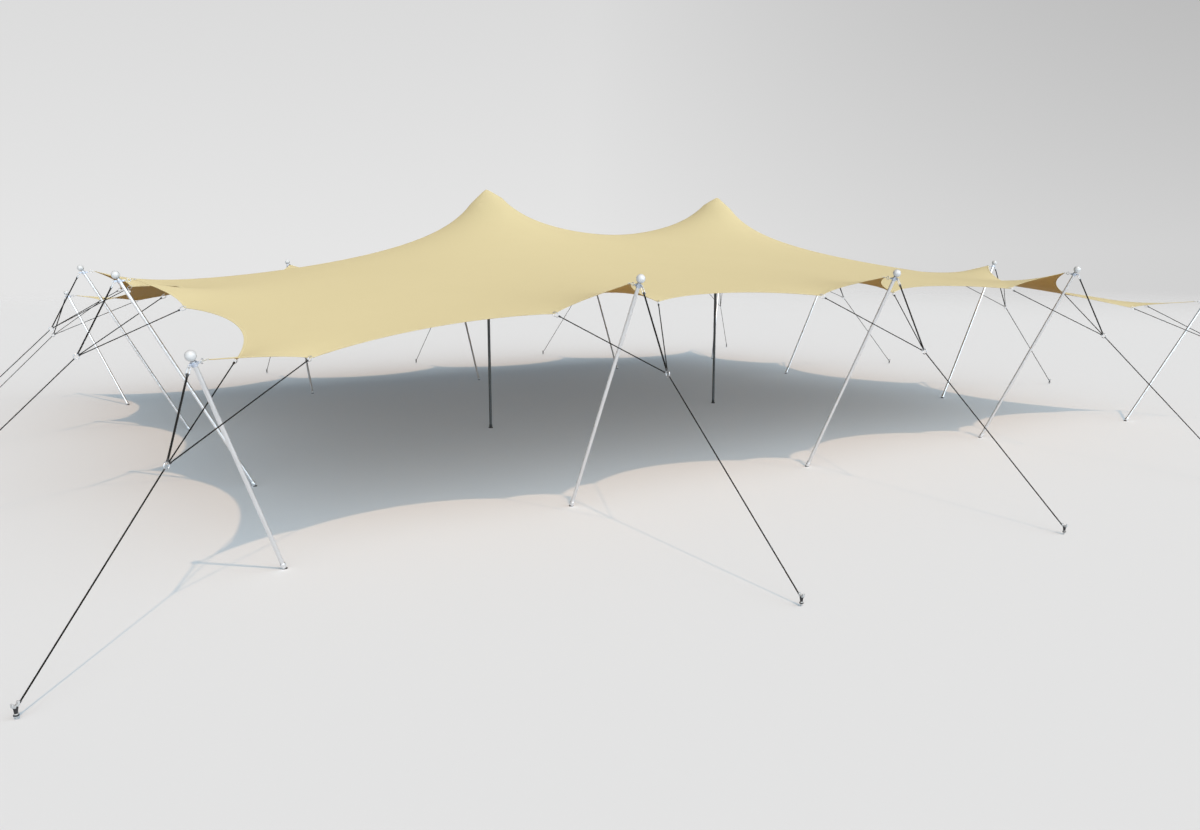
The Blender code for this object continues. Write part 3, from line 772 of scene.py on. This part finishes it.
def all_finishes():
    """Every material of the tent, by a short name."""
    return {
        "cloth": stretch_cloth("canopy_cloth", (0.500, 0.430, 0.254), (0.452, 0.386, 0.222), 0.80),
        # The underside: the cloth made darker and browner, painted shade of the side turned away from the
        # light
        "under": stretch_cloth("canopy_underside", (0.395, 0.228, 0.062), (0.325, 0.182, 0.046), 0.84),
        "hem": stretch_cloth("canopy_hem", (0.512, 0.442, 0.264), (0.463, 0.398, 0.232), 0.80),
        "webbing": stretch_cloth("tip_webbing", (0.600, 0.580, 0.510), (0.520, 0.500, 0.440), 0.80),
        "thread": scuffed("stitch_thread", (0.58, 0.50, 0.29), (0.72, 0.64, 0.42), 0.8, 0.0),
        "pole": satin_aluminium("side_pole_aluminium", (0.84, 0.85, 0.87), (0.73, 0.74, 0.76), 0.40, 1.0),
        "collar": satin_aluminium("collar_aluminium", (0.56, 0.60, 0.68), (0.44, 0.48, 0.56), 0.45, 0.6),
        "dark": satin_aluminium("main_pole_aluminium", (0.096, 0.103, 0.105), (0.056, 0.061, 0.063),
                                0.50, 0.3),
        "steel": zinc_steel("fitting_steel"),
        "ball": white_plastic("ball_plastic"),
        "rope": dark_rope("dark_rope"),
        "rubber": black_rubber("black_rope_end"),
        "foot": black_rubber("foot_rubber"),
        "stake": scuffed("stake_steel", (0.005, 0.005, 0.006), (0.018, 0.018, 0.020), 0.60, 0.0),
        "crown": scuffed("stake_crown", (0.36, 0.365, 0.37), (0.48, 0.485, 0.49), 0.45, 0.2),
    }


# Geometry trees: what repeats or follows a path

class Recipe(Tree):
    """A geometry tree with named inputs, run once on a mesh of paths or points."""

    def __init__(self, name, sizes):
        super().__init__(bpy.data.node_groups.new(name, "GeometryNodeTree"))
        face = self.tree.interface
        face.new_socket(name="Geometry", in_out="INPUT", socket_type="NodeSocketGeometry")
        face.new_socket(name="Geometry", in_out="OUTPUT", socket_type="NodeSocketGeometry")
        self.sizes = {}
        for key, value in sizes.items():
            kind = "NodeSocketInt" if isinstance(value, int) else "NodeSocketFloat"
            socket = face.new_socket(name=key, in_out="INPUT", socket_type=kind)
            self.sizes[socket.identifier] = value
        self.given = self.tree.nodes.new("NodeGroupInput")

    def size(self, name):
        return Socket(self, self.given.outputs[name])

    def geometry(self):
        return Socket(self, self.given.outputs["Geometry"])

    def attribute(self, name, kind="FLOAT"):
        return self.node("GeometryNodeInputNamedAttribute", {"data_type": kind}, {"Name": name})

    def scatter(self, points, piece, way, surface):
        """End the tree with a piece on each point, its own Z turned along a way."""
        turn = self.node("FunctionNodeAlignRotationToVector", {"axis": "Z"}, {"Vector": way})
        spots = {"Points": points, "Instance": piece, "Rotation": turn}
        self.close(self.node("GeometryNodeInstanceOnPoints", None, spots), surface)

    def close(self, geometry, surface):
        """End the tree: real geometry with its material."""
        real = self.node("GeometryNodeRealizeInstances", None, {0: geometry})
        smooth = self.node("GeometryNodeSetShadeSmooth", None, {"Geometry": real})
        made = self.node("GeometryNodeSetMaterial", None, {"Geometry": smooth})
        made.output.node.inputs["Material"].default_value = surface
        ending = self.tree.nodes.new("NodeGroupOutput")
        self.tree.links.new(made.output, ending.inputs[0])

    def run(self, name, points, edges, attributes):
        """The recipe's result on a mesh of points and edges, as a plain mesh."""
        path = bpy.data.meshes.new(name)
        path.from_pydata([tuple(point) for point in points], edges, [])
        for key, values in attributes.items():
            is_vector = hasattr(values[0], "__len__")
            layer = path.attributes.new(key, "FLOAT_VECTOR" if is_vector else "FLOAT", "POINT")
            flat = [x for value in values for x in value] if is_vector else list(values)
            layer.data.foreach_set("vector" if is_vector else "value", flat)
        carrier = placed(name, path)
        modifier = carrier.modifiers.new("Recipe", "NODES")
        modifier.node_group = self.tree
        for identifier, value in self.sizes.items():
            modifier[identifier] = value
        view = bpy.context.evaluated_depsgraph_get()
        mesh = bpy.data.meshes.new_from_object(carrier.evaluated_get(view))
        carrier.modifiers.remove(modifier)
        bpy.data.objects.remove(carrier)
        mesh.name = name
        return mesh


def rope_recipe(surface):
    """Laid rope along each edge of a mesh: its strands wind round the path as they go."""
    recipe = Recipe("laid_rope", {"Strands": 6, "Groove": 0.11, "Lay": 0.110, "Spacing": 0.0138})
    path = recipe.node("GeometryNodeMeshToCurve", None, {0: recipe.geometry()})
    spacing = {"Curve": path, "Length": recipe.size("Spacing")}
    path = recipe.node("GeometryNodeResampleCurve", {"mode": "LENGTH"}, spacing)
    reach = recipe.node("GeometryNodeSplineParameter", output="Length")
    winding = reach / recipe.size("Lay") * (2 * math.pi)
    path = recipe.node("GeometryNodeSetCurveTilt", None, {"Curve": path, "Tilt": winding})
    corners = recipe.size("Strands") * 2
    section = recipe.node("GeometryNodeCurvePrimitiveCircle", None, {"Resolution": corners, "Radius": 1.0})
    number = recipe.node("GeometryNodeInputIndex")
    groove = 1 - number.maths("MODULO", number, 2) * recipe.size("Groove")
    place = recipe.node("GeometryNodeInputPosition")
    pulled = recipe.node("ShaderNodeVectorMath", {"operation": "SCALE"}, {0: place, "Scale": groove})
    section = recipe.node("GeometryNodeSetPosition", None, {"Geometry": section, "Position": pulled})
    thickness = recipe.attribute("rope_radius")
    sweep = {"Curve": path, "Profile Curve": section, "Scale": thickness, "Fill Caps": True}
    recipe.close(recipe.node("GeometryNodeCurveToMesh", None, sweep), surface)
    return recipe


def stitch_recipe(surface):
    """Short stitches along each path, flat on the cloth by its normals."""
    recipe = Recipe("hem_stitch", {"Pitch": 0.018, "Length": 0.011, "Thread": 0.0016})
    path = recipe.node("GeometryNodeMeshToCurve", None, {0: recipe.geometry()})
    path = recipe.node("GeometryNodeResampleCurve", {"mode": "LENGTH"},
                       {"Curve": path, "Length": recipe.size("Pitch")})
    stitch = recipe.node("GeometryNodeMeshCylinder", None, {
        "Vertices": 5, "Radius": recipe.size("Thread") * 0.5, "Depth": recipe.size("Length")})
    recipe.scatter(path, stitch, recipe.node("GeometryNodeInputTangent"), surface)
    return recipe


def eyelet_recipe(surface):
    """A pressed metal eyelet at each point, its axis along the cloth's normal."""
    recipe = Recipe("eyelet", {"Hole": 0.0085, "Lip": 0.0036})
    circle = "GeometryNodeCurvePrimitiveCircle"
    hole = recipe.node(circle, None, {"Resolution": 20, "Radius": recipe.size("Hole")})
    lip = recipe.node(circle, None, {"Resolution": 10, "Radius": recipe.size("Lip")})
    eyelet = recipe.node("GeometryNodeCurveToMesh", None, {"Curve": hole, "Profile Curve": lip})
    recipe.scatter(recipe.geometry(), eyelet, recipe.attribute("cloth_normal", "FLOAT_VECTOR"), surface)
    return recipe


# The canopy and what is sewn to it

def canopy_piece(cloth, finishes):
    """The stretched sheet, a thin closed skin whose underside is a darker, browner copy of the cloth: painted
    shade.
    """
    shape = Shape()
    half = cloth.normals * CLOTH_THICKNESS / 2
    wide, deep = len(cloth.columns), len(cloth.rows)
    spots = [(float(x), float(y)) for x in cloth.columns for y in cloth.rows]
    up = cloth.triangles()
    down = [face[::-1] for face in up]
    for layer, faces, finish in ((cloth.places + half, up, 0), (cloth.places - half, down, 1)):
        shape.add(layer.reshape(-1, 3).tolist(), faces, finish, [[spots[i] for i in face] for face in faces])
    rim = [i * deep + j for i, j in cloth.rim()]
    count = wide * deep
    for a, b in zip(rim, rim[1:] + rim[:1]):
        shape.faces.append([b, a, a + count, b + count])
        shape.finishes.append(0)
        shape.spots.append([spots[b], spots[a], spots[a], spots[b]])
    return finished_piece("canopy_cloth", shape, [finishes["cloth"], finishes["under"]],
                          nodes=["canopy"], crease=60)


def hem_piece(cloth, finishes):
    """The hem: the cloth folded round an edge cord, a rounded strip along the whole edge."""
    cord, fold, width = HEM_CORD, HEM_FOLD, HEM_WIDTH
    section = [(width, fold * 0.55), (width - 0.002, fold), (0.010, fold), (0.004, cord * 0.95),
               (0.0, cord * 0.8), (-0.0028, cord * 0.35)]
    section += [(reach, -height) for reach, height in reversed(section)]
    rings = []
    for spot in cloth.rim():
        edge, normal = Vector(cloth.places[spot]), Vector(cloth.normals[spot])
        inner = Vector(cloth.inwards(spot))
        rings.append([edge + inner * reach + normal * height for reach, height in section])
    rings.append(rings[0])
    lengths = [0.0]
    for before, after in zip(rings, rings[1:]):
        lengths.append(lengths[-1] + (after[4] - before[4]).length)
    widths = [0.008 * i for i in range(len(section) + 1)]
    shape = Shape()
    shape.grid(rings, 0, lengths, widths, caps=False)
    half = len(section) // 2
    # The lower half of the hem takes the underside's darker cloth, which is painted shade
    shape.finishes = ([0] * half + [1] * (half - 1) + [0]) * (len(rings) - 1)
    both = [finishes["hem"], finishes["under"]]
    return finished_piece("canopy_hem", shape, both, crease=50)


def stitches_piece(cloth, finishes):
    """A row of stitches on both faces of the hem."""
    points, edges = [], []
    for sign in (-1, 1):
        start = len(points)
        for spot in cloth.rim():
            raised = cloth.normals[spot] * STITCH_RAISE * sign
            points.append(cloth.places[spot] + cloth.inwards(spot) * STITCH_INSET + raised)
        count = len(points) - start
        edges += [(start + k, start + (k + 1) % count) for k in range(count)]
    mesh = stitch_recipe(finishes["thread"]).run("hem_stitches", points, edges, {})
    return carried("hem_stitches", mesh)


def eyelets_piece(cloth, finishes):
    """The eyelets that the rings of the ties and the tips pass through."""
    spots = list(cloth.held)
    points = [cloth.places[spot] + cloth.inwards(spot) * EYELET_INSET for spot in spots]
    normals = [tuple(cloth.normals[spot]) for spot in spots]
    mesh = eyelet_recipe(finishes["steel"]).run("canopy_eyelets", points, [], {"cloth_normal": normals})
    return carried("canopy_eyelets", mesh)


# The poles

def leaning_pole(station, finishes):
    """The tube with its rounded foot on a rubber pad, and its neck under the ball."""
    tube, cap = POLE_DIAMETER / 2, FOOT_CAP_DIAMETER / 2
    top = station.pole_length - COLLAR_BELOW_BALL + COLLAR_LENGTH / 2
    place = stand(ORIGIN, POLE_AXIS)
    shape = Shape()
    profile = arc(0, cap + 0.005, cap, -90, 0, 7) + [(cap, 0.066), (cap - 0.0015, 0.069), (tube, 0.070)]
    profile += [(tube, top - 0.001), (tube - 0.001, top), (0.0150, top), (0.0150, station.pole_length - 0.03)]
    turned(shape, profile, place, 32, 0)
    pad = [(0.0225, 0.0), (0.0245, 0.0015), (0.0245, 0.006), (0.0225, 0.0085), (0.016, 0.009)]
    turned(shape, pad, Matrix.Identity(4), 28, 1)
    both = [finishes["pole"], finishes["foot"]]
    return station_piece("pole_tube", station, shape, both, [f"pole_{station.name}"])


def pole_ball(station, finishes):
    """The ball on top: two moulded halves with a fine seam, on a dark ring."""
    ball = BALL_DIAMETER / 2
    middle = station.pole_length
    place = stand(ORIGIN, POLE_AXIS)
    shape = Shape()
    profile = [(0.0160, middle - 0.041)] + arc(0, middle, ball, -63, -2.4, 12)
    profile += [(ball - 0.0006, middle), *arc(0, middle, ball, 2.4, 89, 14), (0, middle + ball)]
    turned(shape, profile, place, 32, 0)
    dark_ring = [(0.0155, middle - 0.0440), (0.0195, middle - 0.0435), (0.0195, middle - 0.0395),
                 (0.0155, middle - 0.0385)]
    turned(shape, dark_ring, place, 24, 1)
    return station_piece("pole_ball", station, shape, [finishes["ball"], finishes["rubber"]])


def ear(shape, middle, way):
    """A small ear on the collar with a bolt through it."""
    reach, root, half, thickness = LUG_REACH, 0.022, 0.010, 0.009
    up = SIDEWAYS.cross(way)
    outline = [(root, -half), (reach, -half)]
    outline += [(reach + half * 0.8 * math.cos(t), half * math.sin(t))
                for t in np.radians((-60, -30, 0, 30, 60))]
    outline += [(reach, half), (root, half)]
    plate(shape, outline, middle, way, up, thickness, 0, 0.0012)
    profile = [(0.0055, 0), (0.0055, 0.0035), (0.0045, 0.0045), (0, 0.0046)]
    bolt_heads(shape, middle + way * reach, thickness / 2, profile)


def bow_shackle(shape, start, way, side, length, width, diameter):
    """A U of round bar with its bow at the start and a pin with a head across its far end."""
    radius = (width - diameter) / 2
    legs = length - diameter - radius
    bow = [start + way * (diameter / 2 + radius - radius * math.sin(t)) + side * radius * math.cos(t)
           for t in np.radians(range(180, -1, -20))]
    far = start + way * (diameter / 2 + radius + legs)
    wire(shape, [far - side * radius, *bow, far + side * radius], diameter, False, 1, 12)
    pin = start + way * (length - diameter / 2)
    reach = radius + diameter * 0.9
    profile = [(diameter * 0.55, 0), (diameter * 0.8, 0.0008), (diameter * 0.8, diameter * 0.5),
               (diameter * 0.45, diameter * 0.55), (diameter * 0.45, 2 * reach - diameter * 0.3),
               (diameter * 0.7, 2 * reach - diameter * 0.3), (diameter * 0.7, 2 * reach)]
    turned(shape, profile, stand(pin - side * reach, side), 14, 1)


def small_link(shape, start, way, side, sizes, sides):
    """One of the small links of a pole's head."""
    reach, length, width, bar = sizes
    wire(shape, loop_path(start + way * reach, way, side, length, width), bar, True, 1, sides)


def head_fittings(station, finishes):
    """Collar and ears, the shackle and ring to the canopy's tip, and the ring and shackle to the strap."""
    middle, collar = collar_middle(station), COLLAR_DIAMETER / 2
    shape = Shape()
    low = middle - POLE_AXIS * (COLLAR_LENGTH / 2)
    profile = [(0.0195, 0), (collar - 0.001, 0), (collar, 0.001), (collar, 0.010), (collar - 0.0012, 0.011),
               (collar - 0.0012, 0.021), (collar, 0.022), (collar, COLLAR_LENGTH - 0.001),
               (collar - 0.001, COLLAR_LENGTH), (0.0155, COLLAR_LENGTH)]
    turned(shape, profile, stand(low, POLE_AXIS), 32, 0)
    ear(shape, middle, TIP_WAY)
    ear(shape, middle, OUT)
    pin, way = shackle_pin(station), strap_way(station)
    small_link(shape, middle + TIP_WAY * (LUG_REACH - 0.006), TIP_WAY, SIDEWAYS, LUG_LINK, 10)
    small_link(shape, middle, TIP_WAY, SIDEWAYS.cross(TIP_WAY), TIP_RING, 12)
    small_link(shape, pin, way, SIDEWAYS.cross(way), STRAP_LINK, 12)
    bow_shackle(shape, pin + way * 0.017, way, SIDEWAYS, SHACKLE_REACH - 0.014, 0.034, 0.0075)
    both = [finishes["collar"], finishes["steel"]]
    return station_piece("head_fittings", station, shape, both)


def tip_loop(station, finishes):
    """The webbing loop that is sewn to the canopy's tip and runs round the ring."""
    middle, upright = collar_middle(station), SIDEWAYS.cross(TIP_WAY)
    near, far, width, thickness = 0.104, 0.176, 0.013, 0.0020
    half = 0.0045
    path = [(far, 0.0028), (0.150, 0.0034), (0.124, half), (near + half, half)]
    path += [(near + half - half * math.sin(t), half * math.cos(t))
             for t in np.radians((30, 60, 90, 120, 150))]
    path += [(near + half, -half), (0.124, -half), (0.150, -0.0034), (far, -0.0028)]
    outer = [Vector((reach, height)) for reach, height in path]
    rings = []
    for k, point in enumerate(outer):
        ahead = outer[min(k + 1, len(outer) - 1)] - outer[max(k - 1, 0)]
        away = Vector((ahead.y, -ahead.x)).normalized() * thickness / 2
        corners = [(point + away, 1), (point + away, -1), (point - away, -1), (point - away, 1)]
        rings.append([middle + TIP_WAY * spot.x + upright * spot.y + SIDEWAYS * side * width / 2
                      for spot, side in corners])
    shape = Shape()
    shape.grid(rings, 0, [0.01 * k for k in range(len(rings))], [0.0, 0.02, 0.022, 0.042, 0.044])
    return station_piece("tip_loop", station, shape, [finishes["webbing"]], crease=45)


# The guy sets

def tie_link(station):
    """The length of the links between a station's tie ropes and the canopy's eyelets."""
    return CORNER_TIE_LINK_LENGTH if "corner" in station.name else TIE_LINK_LENGTH


def rope_run(station):
    """Each rope of a set, from the ring: start, end, diameter, and its ends' diameter and length."""
    ring = station.ring
    strap_top = shackle_pin(station) + strap_way(station) * (SHACKLE_REACH - 0.008)
    runs = [(strap_top, STRAP_DIAMETER, *STRAP_END)]
    for tie in station.ties:
        end = tie + (ring - tie).normalized() * (tie_link(station) - 0.013)
        runs.append((end, TIE_ROPE_DIAMETER, *TIE_ROPE_END))
    runs.append((stake_seat(station), GUY_ROPE_DIAMETER, *GUY_ROPE_END))
    gap = RING_DIAMETER / 2 - END_INTO_RING
    return [(ring + (end - ring).normalized() * gap, end, *sizes) for end, *sizes in runs]


def guy_ropes(station, finishes, recipe):
    """The strap, the two tie ropes and the guy, each with a moulded black end at both of its ends."""
    place = in_tent(station)
    points, edges, radii = [], [], []
    ends = Shape()
    for start, end, diameter, fitting, length in rope_run(station):
        way = (end - start).normalized()
        points += [place @ (start + way * ROPE_INTO_END), place @ (end - way * ROPE_INTO_END)]
        edges.append((len(points) - 2, len(points) - 1))
        radii += [diameter / 2] * 2
        tapered_end(ends, end, -way, fitting, length)
        tapered_end(ends, start, way, fitting * ROPE_END_SLIMMER, length * ROPE_END_SHORTER)
    name = f"guy_ropes_{station.name}"
    mesh = recipe.run(name, points, edges, {"rope_radius": radii})
    carried(name, mesh, [f"guy_{station.name}"])
    return station_piece("rope_ends", station, ends, [finishes["rubber"]])


def guy_rings(station, finishes):
    """The ring where the ropes meet, and the ring at each tie that passes through the canopy's eyelet."""
    shape = Shape()
    ring = station.ring
    width = RING_DIAMETER - RING_WIRE
    wire(shape, loop_path(ring, OUT, UP, width, width, 36), RING_WIRE, True, 0, 14)
    for tie in station.ties:
        way = (ring - tie).normalized()
        across = way.cross(UP).normalized()
        face = across.cross(way)
        length = tie_link(station)
        middle = tie + way * (length / 2 - LINK_PAST_EYELET)
        wire(shape, loop_path(middle, way, face, length, LINK_WIDTH, 32), LINK_WIRE, True, 0, 12)
    return station_piece("guy_rings", station, shape, [finishes["steel"]])


def stake_head(station, finishes):
    """The stake: a bright spike, dark flange, bright rim, dark body and a pale crown of two prongs."""
    shape = Shape()
    ground = Matrix.Translation(OUT * station.stake_out)
    base = OUT * station.stake_out + UP * STAKE_CLEARANCE
    place = Matrix.Translation(base)
    turned(shape, [(0.0056, 0.0), (0.0059, 0.0004), (0.0059, STAKE_CLEARANCE + 0.001)], ground, 20, 1)
    turned(shape, [(0.0160, 0.0), (0.0172, 0.0012), (0.0172, 0.0060), (0.0158, 0.0078), (0.012, 0.0082)],
           place, 28, 0)
    turned(shape, [(0.0120, 0.0075)] + arc(0.0110, 0.0115, 0.0034, -80, 80, 6) + [(0.0105, 0.0156)],
           place, 28, 1)
    turned(shape, [(0.0106, 0.012), (0.0112, 0.020), (0.0134, 0.040), (0.0152, 0.046), (0.0158, 0.0485),
                   (0.0158, 0.0515), (0.0143, 0.0530)], place, 28, 0)
    half, root, hollow, top, arm = 0.0285, 0.0490, 0.0680, 0.0860, 0.0115
    outline = [(-0.0115, root), (0.0115, root), (half - 0.0045, 0.0585), (half - 0.0008, 0.0660),
               (half, top - 0.003), (half - 0.003, top), (half - arm + 0.003, top), (half - arm, top - 0.003),
               (half - arm - 0.0015, 0.0700)]
    outline += [(0.0090 * math.cos(t), hollow + 0.0036 * (1 - math.sin(t)))
                for t in np.radians((0, 45, 90, 135, 180))]
    outline += [(-x, z) for x, z in reversed(outline[2:9])]
    plate(shape, outline, base, OUT, UP, 0.0220, 1, 0.0026)
    profile = [(0.0048, 0), (0.0048, 0.0030), (0.0038, 0.0038), (0, 0.0039)]
    bolt_heads(shape, base + UP * 0.0570, 0.0107, profile)
    both = [finishes["stake"], finishes["crown"]]
    return station_piece("stake_head", station, shape, both, [f"stake_{station.name}"])


# The main poles

def main_pole(side, sign, finishes):
    """An upright tube with a foot plate, a locking sleeve and a domed head under the peak."""
    tube, foot, head = MAIN_POLE_DIAMETER / 2, MAIN_FOOT_DIAMETER / 2, MAIN_HEAD_DIAMETER / 2
    top = PEAK_HEIGHT - MAIN_HEAD_BELOW_PEAK
    rim = top - cone_drop(head) - CONE_LEAN * head - 0.004
    place = Matrix.Translation(Vector((sign * MAIN_FOOT_X, MAIN_FOOT_Y, 0)))
    shape = Shape()
    turned(shape, [(foot - 0.002, 0), (foot, 0.002), (foot, 0.009), (foot - 0.003, 0.012),
                   (tube + 0.008, 0.014), (tube + 0.004, 0.018), (tube + 0.003, 0.055), (tube, 0.058)],
           place, 36, 1)
    skirt = rim - MAIN_HEAD_SKIRT
    low, high, wall = MAIN_SLEEVE_FOOT, MAIN_SLEEVE_TOP, MAIN_SLEEVE_WALL
    profile = [(tube, 0.012), (tube, low), (tube + wall, low + 0.002), (tube + wall, high),
               (tube, high + 0.002), (tube - wall, high + 0.003), (tube - wall, skirt - 0.02)]
    turned(shape, profile, place, 32, 0)
    profile = [(tube, skirt - 0.05), (tube + 0.004, skirt - 0.045), (tube + 0.006, skirt),
               (head * 0.55, rim - MAIN_HEAD_SKIRT * 0.62), (head * 0.97, rim - 0.012), (head, rim - 0.006),
               (head, rim)]
    profile += [(head * share, top - cone_drop(head * share) - CONE_LEAN * head * share - 0.002)
                for share in (0.96, 0.8, 0.6, 0.4, 0.2)]
    profile.append((0, top - 0.002))
    turned(shape, profile, place, 40, 1)
    both = [finishes["dark"], finishes["foot"]]
    return finished_piece(f"main_pole_tube_{side}", shape, both,
                          nodes=[f"main_pole_{side}"])


# Studio

# The camera's place, its angles in degrees, and its lens
CAMERA_PLACE = (-8.766, -13.591, 2.79)
CAMERA_PITCH = 9.938
CAMERA_YAW = 32.672
CAMERA_LENS = 28.667
CAMERA_FAR = 400.0
SENSOR_WIDTH = 36.0

# The sun, and a sky that is partly even and partly lit from the front, where 2 / (3 pi) reaches a floor
SUN_WAY = (0.065, 0.650, -1.0)
SUN_STRENGTH = 1.60
SUN_COLOUR = (1.0, 0.680, 0.440)
SUN_SPREAD = math.radians(1.2)
SKY_COLOUR = (0.705, 0.810, 0.880, 1)
FRONT_SHARE = 0.83
FRONT_ON_FLOOR = 0.212

# The grey backdrop: its tone at the horizon, its fall upwards, and where and how far it darkens to the right
BACKDROP_TONE = 0.7855
BACKDROP_FALL = 0.331
BACKDROP_DARK_FROM = 0.52
BACKDROP_DARK = 0.375

# The floor, which fades out between two distances
FLOOR_RADIUS = 90.0
FLOOR_STEPS = 96
FLOOR_FADE = (24.0, 62.0)
FLOOR_COLOUR = (0.60, 0.60, 0.60, 1)
FLOOR_GLOW = (0.088, 0.109, 0.130, 1)


def studio_floor():
    """A round pale floor that glows a little and whose far part thins out into the background."""
    mesh = bpy.data.meshes.new("studio_floor")
    turns = [2 * math.pi * i / FLOOR_STEPS for i in range(FLOOR_STEPS)]
    rim = [(FLOOR_RADIUS * math.cos(turn), FLOOR_RADIUS * math.sin(turn), 0) for turn in turns]
    mesh.from_pydata(rim, [], [list(range(FLOOR_STEPS))])
    floor = placed("studio_floor", mesh)
    pale = Finish("studio_floor", 0.95, Specular_IOR_Level=0.0)
    x, y, _ = pale.parts(pale.places())
    reach = (x * x + y * y) ** 0.5
    near, far = FLOOR_FADE
    fade = pale.node("ShaderNodeMapRange", {"interpolation_type": "SMOOTHSTEP"},
                     {"Value": reach, "From Min": near, "From Max": far, "To Min": 1.0, "To Max": 0.0})
    pale.put("Base Color", FLOOR_COLOUR)
    pale.put("Emission Color", FLOOR_GLOW)
    pale.put("Emission Strength", 1.0)
    pale.put("Alpha", fade)
    mesh.materials.append(pale.material)


def studio_light():
    """A warm sun from the front, and a cool sky that is brighter in front.

    The camera sees a plain grey in the sky's place, darker upwards and to the right."""
    lamp = bpy.data.lights.new("sun", "SUN")
    lamp.energy = SUN_STRENGTH
    lamp.color = SUN_COLOUR
    lamp.angle = SUN_SPREAD
    placed("sun", lamp).rotation_euler = Vector(SUN_WAY).to_track_quat("-Z", "Y").to_euler()
    world = bpy.data.worlds.new("studio")
    world.use_nodes = True
    bpy.context.scene.world = world
    world.node_tree.nodes.clear()
    sky = Tree(world.node_tree)
    x, y, z = sky.parts(sky.node("ShaderNodeTexCoord", output="Generated"))
    east, rise = (x - BACKDROP_DARK_FROM).above(0.0), z.above(0.0)
    dim = BACKDROP_TONE - rise * BACKDROP_FALL - east * (rise + BACKDROP_DARK)
    grey = sky.node("ShaderNodeCombineColor", None, {0: dim, 1: dim, 2: dim})
    seen = sky.node("ShaderNodeBackground", None, {"Color": grey, "Strength": 1.0})
    front = (0 - y).above(0.0)
    strength = 1 - FRONT_SHARE + front * (FRONT_SHARE / FRONT_ON_FLOOR)
    soft = sky.node("ShaderNodeBackground", None, {"Color": SKY_COLOUR, "Strength": strength})
    ray = sky.node("ShaderNodeLightPath", output="Is Camera Ray")
    both = sky.node("ShaderNodeMixShader", None, {0: ray, 1: soft, 2: seen})
    ending = world.node_tree.nodes.new("ShaderNodeOutputWorld")
    world.node_tree.links.new(both.output, ending.inputs[0])


def studio_camera():
    """The camera at the photograph's place."""
    data = bpy.data.cameras.new("camera")
    data.lens = CAMERA_LENS
    data.sensor_width = SENSOR_WIDTH
    data.clip_end = CAMERA_FAR
    camera = placed("camera", data)
    camera.location = CAMERA_PLACE
    camera.rotation_euler = (math.radians(90 - CAMERA_PITCH), 0, -math.radians(CAMERA_YAW))
    bpy.context.scene.camera = camera


def main():
    studio_camera()
    studio_floor()
    studio_light()
    bpy.context.scene.view_settings.view_transform = "Standard"
    finishes = all_finishes()
    stations = all_stations()
    cloth = Cloth(stations)
    canopy = canopy_piece(cloth, finishes)
    sewn = [hem_piece(cloth, finishes), stitches_piece(cloth, finishes), eyelets_piece(cloth, finishes)]
    recipe = rope_recipe(finishes["rope"])
    for station in stations:
        leaning_pole(station, finishes)
        pole_ball(station, finishes)
        head_fittings(station, finishes)
        sewn.append(tip_loop(station, finishes))
        guy_ropes(station, finishes, recipe)
        guy_rings(station, finishes)
        stake_head(station, finishes)
    for side, sign in (("left", -1), ("right", 1)):
        main_pole(side, sign, finishes)


main()
